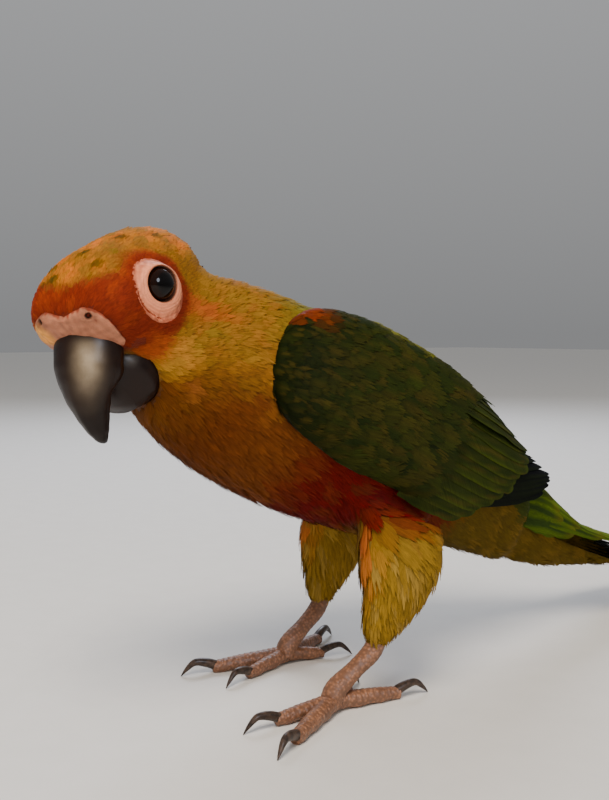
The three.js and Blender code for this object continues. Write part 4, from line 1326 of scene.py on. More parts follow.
def cere_share(q):
    """How much points of the head's frame lie on the cere, from 0 to 1."""
    turn = np.degrees(np.arctan2(q[..., 0] - CERE_AXIS[0], CERE_AXIS[1] - q[..., 1]))
    edge = read_table(CERE_EDGES, np.abs(turn))
    inside = step(0.5, -1.1, q[..., 2] - edge[..., 0]) * step(-1.4, 0.2, q[..., 2] - edge[..., 1])
    return inside * step(CERE_EDGES[-1][0] + 2, CERE_EDGES[-1][0] - 4, np.abs(turn))


def bare_place(p):
    """1 where no feather grows: eye rings, cere, bill and the places that the wings hide."""
    q = to_head(p)
    _, depth, _ = eye_distance(q)
    ragged = noise(p, "bare_edge")
    ring = (ring_distance(q) + 0.3 * ragged < 6.1) & (depth > -4)
    cere = (cere_share(q) + 0.15 * ragged > 0.5) & (q[..., 1] < -8)
    bill = (q[..., 1] < -8.5) & (q[..., 2] < 0.5) & (np.abs(q[..., 0]) < 7.4)
    mouth = in_lower_bill(q, 0.3) & (q[..., 1] < 3)
    mouth = mouth | (spot(mirrored(q), MOUTH_CORNER, 1.6, 2.4) > 0.5)
    along, across, _ = wing_places(p)
    edge = read_table(WING_BODY, along)
    wing = ((along > 34) & (along < 112) & (across > edge[..., 0] + 5)
            & (across < edge[..., 1] - 6) & (q[..., 1] > 20))
    return ring | cere | bill | mouth | wing


HEAD_COAT, NECK_COAT, BREAST_COAT, BACK_COAT, RUMP_COAT, THIGH_COAT = range(6)
# Where the parts meet: reach of the head, end of the neck and start of the rump along the trunk,
# and turn above the flank at which the back begins
HEAD_REACH = 21.5
NECK_END = 36
RUMP_START = 92
BACK_TURN = 0.45


def region(p):
    """Which part of the coat points belong to."""
    q = to_head(p)
    along, angle, _ = trunk_places(p)
    head = reach_from(q, SKULL_MIDDLE) < HEAD_REACH
    part = np.where(angle > BACK_TURN, BACK_COAT, BREAST_COAT)
    part = np.where(along > RUMP_START, RUMP_COAT, part)
    part = np.where(along < NECK_END, NECK_COAT, part)
    part = np.where(head, HEAD_COAT, part)
    return np.where((thigh_share(p) > 0.5) & ~head, THIGH_COAT, part)


# Trial roots for each one that is kept
TRIALS = 5


def even_roots(surface, rng, wanted, length, share):
    """Roots spaced evenly over the wanted part of a surface, with their normals."""
    share = share / bpy.context.scene.conure_coat.density
    points, normals = surface.scatter(
        TRIALS, rng, lambda p: wanted(p) / (share * length(p)) ** 2)
    keep = spaced(points, share * length(points))
    return points[keep], normals[keep]


def coat_bed(part, kind, seed):
    """Evenly spaced feathers of a kind on one part of the coat, as a bed on the skin."""
    rng = np.random.default_rng(seed)
    roots, normals = even_roots(
        skin(), rng, lambda p: (region(p) == part) & ~bare_place(p), feather_length,
        FEATHER_KINDS[kind]["spacing"])
    return skin(), roots, normals, feather_flow(roots, normals), feather_length(roots)


def grow_halves(name, bed, left, seed, kind, place_uv, slot):
    """Grows the left feathers of a bed as one piece and the others as another."""
    for side, mask in (("left", left), ("right", ~left)):
        half = (bed[0], *[column[mask] for column in bed[1:]])
        obj = grow_feathers(f"{name}_{side}", half, seed, kind, place_uv)
        finish_piece(obj, contour_feather_material(), slot)


class CONURE_OT_head_coat(bpy.types.Operator):
    """Small feathers of the head: tiny on the face, longer on crown, cheek and nape"""

    bl_idname = "conure.head_coat"
    bl_label = "Head feathers"

    def execute(self, context):
        bed = coat_bed(HEAD_COAT, "face", 3)
        left = to_head(bed[1])[:, 0] >= 0
        grow_halves("coat_head", bed, left, 5, "face", head_unwrap, "plumage_head")
        return {"FINISHED"}


class CONURE_OT_body_coat(bpy.types.Operator):
    """Contour feathers of neck, breast, back and rump"""

    bl_idname = "conure.body_coat"
    bl_label = "Body feathers"

    def execute(self, context):
        for name, part, slot, seed in (
            ("coat_neck", NECK_COAT, "plumage_olive", 7),
            ("coat_breast", BREAST_COAT, "plumage_breast", 9),
            ("coat_back", BACK_COAT, "plumage_olive", 11),
            ("coat_rump", RUMP_COAT, "plumage_olive", 13),
        ):
            obj = grow_feathers(name, coat_bed(part, "body", seed), seed, "body", trunk_unwrap)
            finish_piece(obj, contour_feather_material(), slot)
        return {"FINISHED"}


class CONURE_OT_thigh_coat(bpy.types.Operator):
    """Loose plumes of the thighs, which end in a point at the ankle"""

    bl_idname = "conure.thigh_coat"
    bl_label = "Thigh feathers"

    def execute(self, context):
        bed = coat_bed(THIGH_COAT, "plume", 15)
        left = bed[1][:, 0] > 0
        grow_halves("coat_thigh", bed, left, 17, "plume", thigh_unwrap, "plumage_olive")
        return {"FINISHED"}


# Wings and tail

FLIGHT_ROWS = np.array([0, 0.12, 0.26, 0.4, 0.54, 0.66, 0.76, 0.84, 0.9, 0.94, 0.97, 0.99, 1.0])
FLIGHT_COLUMNS = np.array([-1, -0.72, -0.42, -0.14, 0, 0.14, 0.42, 0.72, 1])
# Tiers of the wing from below upwards. line: share of the tier, root along and across, tip along
# and across. lift: distance along and height of the vanes' middle
WING_TIERS = {
    "primary": dict(
        count=9, overlap=1.15, rise=0.3, jitter=2, point=0.55,
        line=[(0, 81, -10.2, 126, 5.4), (0.5, 82, -3, 133, 12), (1, 83, 6, 127, 19)],
        lift=[(80, -4.6), (92, -4.2), (104, -3.7), (116, -2.6), (124, -1.6), (134, -1)]),
    "secondary": dict(
        count=11, overlap=1.35, rise=0.3, jitter=2.6, point=0.82,
        line=[(0, 70, -9.8, 94, -9), (0.33, 72, -1.6, 104, -1.4), (0.67, 73, 7, 113, 6.6),
              (1, 75, 17, 120, 16)],
        lift=[(69, -3.6), (84, -2.9), (98, -2.1), (110, -1.2), (124, -0.8)]),
    "tertial": dict(
        count=5, overlap=1.35, rise=0.4, jitter=2.6, point=0.85,
        line=[(0, 72, 18, 119, 17), (1, 66, 30, 102, 27)],
        lift=[(62, -3), (76, -2.6), (86, -2), (100, -1.1), (122, -0.6)]),
}
# Sheet on which the coverts lie, from the wing's body out over the flight feathers
COVERT_SHEET = [
    (29, 4, 9, -0.9), (31, -2, 16, -0.8), (36, -7, 23.5, -0.7), (45, -10, 29, -0.7),
    (54, -11.5, 32, -1), (60, -11.5, 33, -1.5), (68, -11.2, 33.6, -1.9), (78, -10.4, 33.4, -1.8),
    (88, -9, 31.5, -1.5), (98, -5, 29, -1.3), (108, 2, 26.5, -1),
]
# Small coverts: length by distance along the wing, and where their roots end
COVERT_LENGTH = [(28, 3.4), (34, 4.8), (44, 7), (56, 9), (70, 11), (90, 12)]
COVERT_END = [(-12, 67), (8, 73), (20, 74), (27, 92), (34, 96)]
# Tail feathers of one side: length, place across, half width, level below the uppermost
RECTRICES = [(116, 1.4, 4.6, 0), (108, 4.6, 4.3, 2), (98, 5.2, 4.3, 3), (87, 5.8, 4.2, 4),
             (75, 6.4, 4.2, 5), (62, 7, 4, 6)]
# Tail: height of its uppermost vane, step from vane to vane, fall to the sides, point of the tips
TAIL_TOP = 2.4
VANE_STEP = 0.85
TAIL_SLOPE = 0.1
TAIL_POINT = 0.7
# Tail coverts from the tip of the tail to its root: start, end, lowest turn about the tail's
# middle in degrees
UPPER_COVERTS = [(27, 58, 42), (18, 47, 24), (9, 36, 8), (0, 25, -4), (-7, 15, -8)]
COVERT_TURN = 13


def vane_shape(rng, point):
    """Shares u and c of a vane's points: rounded or pointed tip, and small nicks in its edge."""
    u = np.repeat(FLIGHT_ROWS[:, None], len(FLIGHT_COLUMNS), 1)
    wide = 0.7 + 0.3 * step(0, 0.35, FLIGHT_ROWS)
    bend = 0.9 - 0.35 * (1 - point)
    tip = np.clip((FLIGHT_ROWS - bend * 0.85) / (1 - bend * 0.85), 0, 1)
    wide = wide * np.sqrt(np.maximum(1 - tip ** 2.2, 0))
    c = FLIGHT_COLUMNS[None] * wide[:, None]
    for _ in range(rng.integers(1, 4)):
        row, edge = rng.integers(3, len(FLIGHT_ROWS) - 3), rng.choice([0, -1])
        c[row, edge] *= rng.uniform(0.8, 0.93)
    return u, c


def shaft_ridge(u, c, height):
    """The shaft, raised along the middle of a vane almost to its tip."""
    return height * (np.abs(c) < 0.05) * (u < 0.97)


class Vanes:
    """Vanes gathered into one mesh object."""

    def __init__(self):
        self.points, self.tints, self.barbs = [], [], []

    def add(self, rng, place, tint, length, half, point):
        """Adds a vane by its functions of place and tint, its length, half width and point."""
        u, c = vane_shape(rng, point)
        self.points.append(place(u, c))
        self.tints.append(np.clip(tint(u, c), 0, 1))
        x, y = c * half, u * length
        self.barbs.append(np.stack([x, y - 1.3 * np.abs(x)], -1) + rng.uniform(0, 60, 2))

    def build(self, name):
        """One mesh object of all vanes, each in its own square of the OFBake map."""
        count = len(self.points)
        per = len(FLIGHT_ROWS) * len(FLIGHT_COLUMNS)
        sheet = sheet_faces(len(FLIGHT_ROWS), len(FLIGHT_COLUMNS))
        faces = (sheet[None] + np.arange(count)[:, None, None] * per).reshape(-1, 4)
        cells = math.ceil(math.sqrt(count))
        u = np.repeat(FLIGHT_ROWS[:, None], len(FLIGHT_COLUMNS), 1).ravel()
        c = np.tile(FLIGHT_COLUMNS, len(FLIGHT_ROWS))
        own = np.stack([0.1 + 0.4 * (c + 1), 0.1 + 0.8 * u], -1)
        cell = np.stack([np.arange(count) % cells, np.arange(count) // cells], -1)
        bake = (cell[:, None] + own[None]) / cells
        return new_object(name, self.points, faces, np.array(self.tints).reshape(-1, 3),
                          {"OFBake": bake.reshape(-1, 2),
                           "Barb": np.array(self.barbs).reshape(-1, 2)})


def wing_tint(tier, along, across, u, c, shade):
    """Colour of a wing feather: streaked dark green with an olive fringe, or black primaries."""
    grain = np.stack([along * 0.28, across * 1.5, np.full(u.shape, shade * 90)], -1)
    if tier == "primary":
        base = all_over(u.shape, "flight_black")
        return blend(base, "wing_green", 0.3 * step(0, -0.6, c)) * shade
    streak = noise(grain, "vane_streaks")
    measures = dict(u=u, c=c, streak=streak, across=across)
    base = blend(all_over(u.shape, "wing_green"), "wing_olive", 0.5 + 0.6 * streak)
    base = lay_marks(base, VANE_MARKS, measures)
    if tier == "tertial":
        base = lay_marks(base, TERTIAL_MARKS, measures)
    return base * shade


def wing_vanes(vanes, tier, side, rng):
    """Adds one tier of a wing's feathers, from the lowest one upwards."""
    data = WING_TIERS[tier]
    line, lift = data["line"], data["lift"]
    count = data["count"]
    share = np.arange(count) / (count - 1)
    rows = read_table(line, share)
    pitch = np.abs(np.gradient(rows, axis=0))
    for i in range(count):
        root_along, root_across, tip_along, tip_across = rows[i]
        root_pitch, tip_pitch = pitch[i, 1], pitch[i, 3]
        reach = tip_along - root_along + (rng.random() - 0.5) * data["jitter"]
        lean = (rng.random() - 0.5) * 0.9

        def place(u, c):
            along = root_along + reach * u
            width = (root_pitch + (tip_pitch - root_pitch) * u) * data["overlap"]
            middle = read_table(lift, along)[..., 0]
            height = middle - data["rise"] * c - 0.1 * c * c + shaft_ridge(u, c, 0.09)
            across = root_across + (tip_across + lean - root_across) * u + c * width
            return wing_point(along, across, height, side)

        shade = rng.normal(1, 0.12)
        half = 0.5 * (root_pitch + tip_pitch) * data["overlap"]
        vanes.add(rng, place, lambda u, c: wing_tint(
            tier, root_along + reach * u, root_across + c * half, u, c, shade),
            reach, half, data["point"])


def wing_form(name, table, drop, side):
    """A flat rounded body along the wing, by a table of its edges and lift."""
    rings = []
    for along in np.linspace(table[0][0] + 0.3, table[-1][0], 40):
        low, high, lift = read_table(table, along)
        v = np.linspace(0, 1, 24)
        across = low + (high - low) * v
        crown = 2 * np.sqrt(np.maximum(1 - (2 * v - 1) ** 6, 0)) - 2
        front = 1.6 * step(34, 29, along)
        outer = wing_point(along, across, lift - drop + crown - front, side)
        inner = wing_point(along, across[::-1], np.minimum(lift - 3.6, -4.8), side)
        rings.append(np.vstack([outer, inner]))
    rings = np.array(rings)
    return closed_body(name, rings, rings[0].mean(0), rings[-1].mean(0))


def covert_length(p):
    """Length of the small coverts rooted at points."""
    along, across, _ = wing_places(p)
    length = read_pairs(COVERT_LENGTH, along)
    return length * (1 - 0.2 * step(20, 32, across))


def covert_bed(side, rng):
    """Small coverts spread over a sheet on the outer face of the wing."""
    sheet = wing_form("covert_sheet", COVERT_SHEET, 0, side)
    surface = Surface(sheet)
    bpy.data.objects.remove(sheet)

    def wanted(p):
        along, across, lift = wing_places(p)
        end = read_pairs(COVERT_END, across)
        return (along < end) & (lift > np.where(along < 32, -5.5, -3.2))

    roots, normals = even_roots(surface, rng, wanted, covert_length,
                                FEATHER_KINDS["covert"]["spacing"])
    along, across, _ = wing_places(roots)
    ahead = wing_point(along + 1, across - 0.05 * step(10, -8, across), 0.8, side)
    way = along_surface(ahead - wing_point(along, across, 0, side), normals)
    return surface, roots, normals, way, covert_length(roots)


def wing_unwrap(p):
    """Places on the wing unrolled: distance along it, and arc across."""
    along, across, _ = wing_places(p)
    return np.stack([(along - 20) / 120, (across + 16) / 56], -1)


class CONURE_OT_wings(bpy.types.Operator):
    """Folded wings: small coverts, greater coverts, secondaries, tertials and dark primaries"""

    bl_idname = "conure.wings"
    bl_label = "Wings"

    def execute(self, context):
        for name, side, seed in (("left", 1, 21), ("right", -1, 22)):
            rng = np.random.default_rng(seed)
            bed = wing_form(f"wing_{name}_bed", WING_BODY, 0.7, side)
            # Painted shade: the bed takes the coverts' markings, darkened, where it shows between
            # them
            paint(bed.data, covert_markings(bird_points(bed)) * 0.6)
            finish_piece(bed, bare_skin_material(), "plumage_wing")
            flight = Vanes()
            for tier in WING_TIERS:
                wing_vanes(flight, tier, side, rng)
            obj = flight.build(f"wing_{name}_flight")
            finish_piece(obj, flight_feather_material(), "plumage_wing", (f"wing_{name}",))
            obj = grow_feathers(f"wing_{name}_coverts", covert_bed(side, rng), seed, "covert",
                                wing_unwrap, covert_markings)
            finish_piece(obj, contour_feather_material(), "plumage_wing")
        return {"FINISHED"}


def tail_vane(vanes, rng, root, tip, half, lift, tint):
    """One tail feather: root and tip as distance and place across, and its lift."""
    length = tip[0] - root[0]

    def place(u, c):
        distance = root[0] + length * u
        x = root[1] + (tip[1] - root[1]) * u + c * half
        height = lift - TAIL_SLOPE * np.abs(x) - 0.15 * c * c
        return tail_point(distance, x, height + shaft_ridge(u, c, 0.1))

    vanes.add(rng, place, tint, length, half, TAIL_POINT)


class CONURE_OT_tail(bpy.types.Operator):
    """Long stepped tail with its upper coverts"""

    bl_idname = "conure.tail"
    bl_label = "Tail"

    def execute(self, context):
        rng = np.random.default_rng(31)
        tail, coverts = Vanes(), Vanes()
        for j, (length, centre, half, level) in reversed(list(enumerate(RECTRICES))):
            for side in (1, -1):
                lift = TAIL_TOP - VANE_STEP * level - (VANE_STEP if j == 0 and side < 0 else 0)
                tail_vane(tail, rng, (3, side * centre * 0.5), (length, side * centre), half,
                          lift, self.quill_tint(rng.normal(1, 0.08)))
        for start, end, lowest in UPPER_COVERTS:
            count = max(4, round((180 - 2 * lowest) / 17))
            for middle in np.linspace(lowest, 180 - lowest, count):
                self.covert(coverts, rng, start, end + rng.normal(0, 2), middle)
        obj = tail.build("tail_feathers")
        finish_piece(obj, flight_feather_material(), "plumage_tail", ("tail",))
        obj = coverts.build("tail_coverts")
        finish_piece(obj, contour_feather_material(), "plumage_tail")
        return {"FINISHED"}

    @staticmethod
    def covert(coverts, rng, start, end, middle):
        """One upper covert, wrapped round the root of the tail at a turn about its middle."""
        turn = COVERT_TURN / max(1, abs(math.sin(math.radians(middle))) + 0.2)
        shade = rng.normal(1, 0.14)

        def place(u, c):
            distance = start + (end - start) * u
            angle = np.radians(middle + turn * c)
            size = read_table(TAIL_ROOT, distance)
            above = np.maximum(size[..., 1], 3.1)
            high = np.where(np.sin(angle) > 0, above, size[..., 2]) * np.sin(angle)
            return tail_point(distance, np.cos(angle) * (np.maximum(size[..., 0], 4.6) + 0.4),
                              high - 0.9 + 1.5 * step(0, 0.4, u) + 0.4 * u - 0.12 * c * c)

        def tint(u, c):
            body = all_over(u.shape, "leaf_green")
            low = step(50, 10, min(middle, 180 - middle) + 0 * u)
            body = blend(body, "tail_green", 0.6 * low + 0.5 * step(0.6, 0.1, np.abs(c + 0.2)))
            return blend(body, "olive", 0.4 * step(0.7, 1, u)) * shade

        coverts.add(rng, place, tint, end - start, 2.2, 0.85)

    @staticmethod
    def quill_tint(shade):
        """Long tail feathers: dark green at the root, blue-black towards the tip."""
        def tint(u, c):
            body = all_over(u.shape, "tail_green")
            return blend(body, "flight_black", step(0.12, 0.4, u + 0.1 * c)) * shade
        return tint


# Face


def eye_basis(side):
    """Centre of an eye, its outward aim and two directions across it, in the head's frame."""
    flip = np.array([side, 1, 1])
    aim = eye_way * flip
    across = unit(np.cross((0, 0, 1), aim))
    return EYE_PLACE * flip, aim, across, np.cross(aim, across)


class CONURE_OT_eyes(bpy.types.Operator):
    """Eyes: dark iris, black pupil and a bulging wet cornea"""

    bl_idname = "conure.eyes"
    bl_label = "Eyes"

    def execute(self, context):
        for name, side in (("left", 1), ("right", -1)):
            centre, aim, across, high = eye_basis(side)
            bpy.ops.mesh.primitive_uv_sphere_add(segments=64, ring_count=48, radius=1)
            obj = context.object
            obj.name = f"eyeball_{name}"
            p = unit(mesh_points(obj))
            radius = EYE_RADIUS + CORNEA_RISE * step(0.6, 0.95, p[:, 2])
            local = centre + (p[:, :1] * across + p[:, 1:2] * high + p[:, 2:] * aim) * radius[:, None]
            set_points(obj, from_head(local))
            if side < 0:
                obj.data.flip_normals()
            off = np.degrees(np.arccos(np.clip(p[:, 2], -1, 1)))
            tint = blend(all_over((len(p),), "pupil"), "iris", step(24, 30, off) * step(80, 50, off))
            paint(obj.data, tint)
            obj.data.shade_smooth()
            tidy_normals(obj)
            finish_piece(obj, eye_material(), "eye", (f"eye_{name}",))
        return {"FINISHED"}


# Section of lids and bare ring: distance from the eye's line, height in front of its centre
LID_SECTION = [(3.2, 2.4), (3.4, 2.8), (3.55, 3.2), (3.75, 3.46), (4.0, 3.58), (4.4, 3.5),
               (4.9, 3.42), (5.5, 3.2), (6.2, 2.85), (6.9, 2.4), (7.4, 1.9)]
RING_TURNS, RING_ROWS = 96, 34
# Rise of the ring over the skin, how far its rim sinks in, and the spacing of its wrinkles
RING_RISE = 0.35
RIM_SINK = 1.3
WRINKLE_LENGTH = 0.62
# Distances from which the skin is looked for, round the eye and round the cere, and how far
# from its axis the cere lies where no skin is seen
LOOK_FROM = 12
CERE_LOOK_FROM = 16
CERE_REACH = 4


class CONURE_OT_bare_face(bpy.types.Operator):
    """Bare eye rings with their lids, and the cere with its nostrils, all one with the skin"""

    bl_idname = "conure.bare_face"
    bl_label = "Bare face"

    def execute(self, context):
        body = bpy.data.objects["skin"]
        parts = [body, self.eye_ring(1), self.eye_ring(-1), self.cere()]
        for part in parts[1:]:
            part.data.materials.append(body.data.materials[0])
        select_only(*parts)
        bpy.ops.object.join()
        return {"FINISHED"}

    @staticmethod
    def eye_ring(side):
        """Lids and bare wrinkled ring round an eye, let into the feathers at its rim."""
        centre, aim, across, high = eye_basis(side)
        angle = 2 * np.pi * np.arange(RING_TURNS) / RING_TURNS
        r = np.linspace(LID_SECTION[0][0], LID_SECTION[-1][0], RING_ROWS)
        h = read_table(LID_SECTION, r)[:, 0]
        ways = np.cos(angle)[:, None] * across + np.sin(angle)[:, None] * high
        shift = RING_SHIFT * (side, 1, 1)
        shift = shift - aim * (aim @ shift)
        lean = ways @ shift
        ends = lean + np.sqrt(lean ** 2 - shift @ shift + r[-1] ** 2)
        share = ((r - r[0]) / (r[-1] - r[0]))[:, None]
        radius = r[0] + (ends - r[0])[None] * share
        height = np.interp(radius, r, h)
        rim = np.linalg.norm(ways[None] * radius[..., None] - shift, axis=-1)
        ground = np.empty((RING_ROWS, RING_TURNS))
        for i in range(RING_ROWS):
            for k in range(RING_TURNS):
                ground[i, k] = skin().height_over(
                    centre + ways[k] * radius[i, k], aim, LOOK_FROM, h[i])
        rim = rounded(rim, ground)
        outer = step(5.0, 6.4, rim)
        bed = ground + RING_RISE - RIM_SINK * step(6.5, 7.4, rim)
        height = height * (1 - outer) + bed * outer
        height = np.where(radius > 4.4, np.maximum(height, bed), height)
        crease = step(4.0, 4.5, radius) * step(7.2, 6.4, rim)
        wave = np.sin(radius * 2 * np.pi / WRINKLE_LENGTH + 1.4 * np.sin(3 * angle)[None]
                      + 0.8 * np.sin(7 * angle)[None])
        height = height + 0.05 * crease * wave
        height = height + 0.035 * crease * np.sin(26 * angle + 5 * radius)
        places = centre + ways[None] * radius[..., None] + aim * height[..., None]
        rings = from_head(places)
        faces = ring_faces(RING_ROWS, RING_TURNS, poles=False)
        tint = all_over(radius.shape, "ring")
        behind = (ways @ np.array([0, 1.0, 0]))[None] * radius
        tint = blend(tint, "cere", 0.55 * step(-1, 5, behind))
        tint = blend(tint, "lid", 0.9 * step(3.8, 3.5, radius))
        fray = 0.5 * noise(places, "ring_edge")
        tint = blend(tint, "red_orange", 0.65 * step(5.0, 6.6, rim + fray))
        # Painted shade and light: the wrinkles are painted darker in their troughs and lighter on
        # their crests
        tint = tint * (1 + 0.07 * crease * wave)[..., None]
        obj = new_object("eye_ring", rings, faces, tint.reshape(-1, 3))
        tidy_normals(obj)
        return obj

    @staticmethod
    def cere():
        """A swollen patch above the bill, laid over the skin, with two nostril craters."""
        turn = np.linspace(-CERE_EDGES[-1][0] - 3, CERE_EDGES[-1][0] + 3, 170)
        edge = read_table(CERE_EDGES, np.abs(turn))
        v = np.linspace(0, 1, 64)[:, None]
        z = edge[:, 1] - 2 + (edge[:, 0] - edge[:, 1] + 2.6) * v
        angle = np.radians(turn)
        way = np.stack([np.sin(angle), -np.cos(angle), np.zeros_like(angle)], -1)
        places = np.empty(z.shape + (3,))
        for i in range(z.shape[0]):
            for k in range(z.shape[1]):
                middle = np.array([*CERE_AXIS, z[i, k]])
                reach = skin().height_over(middle, way[k], CERE_LOOK_FROM, CERE_REACH)
                places[i, k] = middle + way[k] * reach
        share = cere_share(places)
        swell = -0.5 + 1.1 * share + 0.1 * noise(places, "cere_swell")
        tint = all_over(z.shape, "cere")
        fray = share + 0.25 * noise(places, "cere_edge")
        tint = blend(tint, "red_orange", 0.8 * step(0.85, 0.4, fray))
        tint = blend(tint, "tan", 0.7 * spot(places, FAR_CHEEK, 1.4, 3.6))
        for side in (1, -1):
            place = np.array(NOSTRIL) * np.array([side, 1, 1])
            away = np.linalg.norm((places - place) * np.array([1, 0.6, 1]), axis=-1)
            swell = swell + 0.4 * np.exp(-(away / 2.4) ** 2) - 1.5 * step(0.85, 0.25, away)
            # Painted shade: the skin darkens towards each nostril's crater, and the crater is painted
            # near-black for the shade inside the opening
            tint = tint * (1 - 0.25 * step(2.4, 0.9, away))[..., None]
            tint = blend(tint, "nostril", step(0.9, 0.5, away))
        tint = tint * (1 + 0.14 * noise(places, "cere_tone"))[..., None]
        raised = from_head(places + way[None] * swell[..., None])
        obj = new_object("cere_form", raised, sheet_faces(*z.shape), tint.reshape(-1, 3))
        tidy_normals(obj)
        return obj


# Painted highlights on the bill: a pale streak of painted sheen down the upper bill, and a painted
# bluish glint at the corner of the lower one
BILL_PAINTED_SHEEN = ((4, -19.5, -2), (2.6, -21.5, -13))
BILL_PAINTED_SHEEN_REACH = 2.4
BILL_PAINTED_GLINT = (8.3, -11, -6.2)


class CONURE_OT_bill(bpy.types.Operator):
    """Hooked dark bill: upper part with its ridge and cutting edge, and the lower part"""

    bl_idname = "conure.bill"
    bl_label = "Bill"

    def execute(self, context):
        upper = self.part("bill_upper_horn", BILL_UPPER, 110, 72, 1.0)
        q = to_head(bird_points(upper))
        # Noise that makes the painted sheen uneven and the edge of the darker tip ragged
        wear_and_sheen = 0.95 + 0.08 * noise(q, "bill_sheen_and_tip_noise")
        tint = all_over((len(q),), "bill_horn")
        # Painted highlight: pale sheen along a line down the upper bill, strongest near its top
        sheen = np.exp(-(from_line(q, *BILL_PAINTED_SHEEN) / BILL_PAINTED_SHEEN_REACH) ** 2)
        tint = blend(tint, "bill_painted_sheen", sheen * wear_and_sheen * (0.1 + 0.75 * step(-11.5, -3, q[:, 2])))
        tint = blend(tint, "bill_tip", 0.85 * step(-9.5, -15, q[:, 2] + 0.6 * wear_and_sheen))
        tint = blend(tint, "bill_tip", 0.5 * step(-13.4, -11, q[:, 1]) * step(0, -4, q[:, 2]))
        self.finish(upper, tint, "bill_upper")
        lower = self.part("bill_lower_horn", BILL_LOWER, 60, 64, BILL_SHOULDER)
        q = to_head(bird_points(lower))
        # Painted highlight: a bluish grey glint near the corner of the lower bill
        blue = 0.7 * spot(mirrored(q), BILL_PAINTED_GLINT, 1, 4.2)
        self.finish(lower, blend(all_over((len(q),), "bill_horn"), "bill_painted_glint", blue), "bill_lower")
        return {"FINISHED"}

    @staticmethod
    def finish(obj, tint, node):
        """Paints and finishes one half of the bill."""
        paint(obj.data, tint)
        finish_piece(obj, horn_material("bill_horn"), "bill_horn", (node,))

    @staticmethod
    def part(name, rows, rings, sides, shoulder):
        """One half of the bill with growth lines; the upper half also gets a culmen ridge and a
        toothed cutting edge.
        """
        places, first, last = loft_rings(axis_of(rows, (-1, 0, 0)), rings, sides, 1.0, shoulder)
        centre = places.mean(1, keepdims=True)
        angle = 2 * np.pi * np.arange(sides)[None] / sides
        u = np.linspace(0, 1, rings)[:, None]
        out = unit(places - centre)
        swell = 0.03 * np.sin(u * 60 + 2 * np.sin(angle)) * step(0.05, 0.2, u) * step(1, 0.9, u)
        if shoulder == 1:
            swell = swell + 0.2 * np.exp(-((angle - np.pi / 2) / 0.2) ** 2) * step(1, 0.7, u)
            edge = np.exp(-((np.abs(np.cos(angle)) - 0.92) / 0.1) ** 2) * (np.sin(angle) < 0)
            tooth = np.exp(-((u - 0.47) / 0.07) ** 2) - 0.8 * np.exp(-((u - 0.6) / 0.06) ** 2)
            swell = swell + edge * (0.25 * step(0.2, 0.4, u) * step(1, 0.8, u) + 0.4 * tooth)
        places = from_head(places + out * swell[..., None])
        return closed_body(name, places, from_head(first), from_head(last))


# Legs


def sweep(points, radii, rings, sides, relief=None):
    """Rings of a limb along points, with a relief by distance and angle, kept above the floor."""
    points = np.asarray(points, float)
    forward = unit(points[-1] - points[0])
    side_axis = np.cross(forward, [0, 0, 1.0])
    if np.linalg.norm(side_axis) < 0.3:
        side_axis = np.array([1.0, 0, 0])
    axis = Axis(points, [(r, r, r) for r in radii], unit(side_axis), 1600)
    places, first, last = loft_rings(axis, rings, sides)
    centre = places.mean(1, keepdims=True)
    angle = 2 * np.pi * np.arange(sides)[None] / sides
    distance = np.linspace(0, axis.total, rings)[:, None]
    if relief:
        places = centre + (places - centre) * (1 + relief(distance, angle))[..., None]
    for part in (places, first, last):
        part[..., 2] = np.maximum(part[..., 2], 0)
    return places, first, last


# Length of a toe's scutes and of its pads, and of the shank's scales
SCUTE_LENGTH = 1.35
PAD_LENGTH = 5.2
SCALE_LENGTH = 1.1
# Tint that the claws' horn is multiplied by
CLAW_WARMTH = np.array([0.9, 0.85, 0.8])


def toe_relief(distance, angle):
    """Overlapping scutes on top of a toe, and soft pads under its joints."""
    top = step(-0.2, 0.5, np.sin(angle))
    scute = (distance / SCUTE_LENGTH) % 1
    pad = step(0.2, -0.5, np.sin(angle)) * np.sin(distance * 2 * np.pi / PAD_LENGTH)
    return 0.09 * top * (scute - 0.5) + 0.07 * pad


def shank_relief(distance, angle):
    """Rows of small rounded scales round the shank."""
    turn = angle * 5 + np.pi * (np.floor(distance / SCALE_LENGTH) % 2)
    wave = np.abs(np.sin(distance * np.pi / SCALE_LENGTH))
    return 0.045 * wave * (0.6 + 0.4 * np.cos(turn))


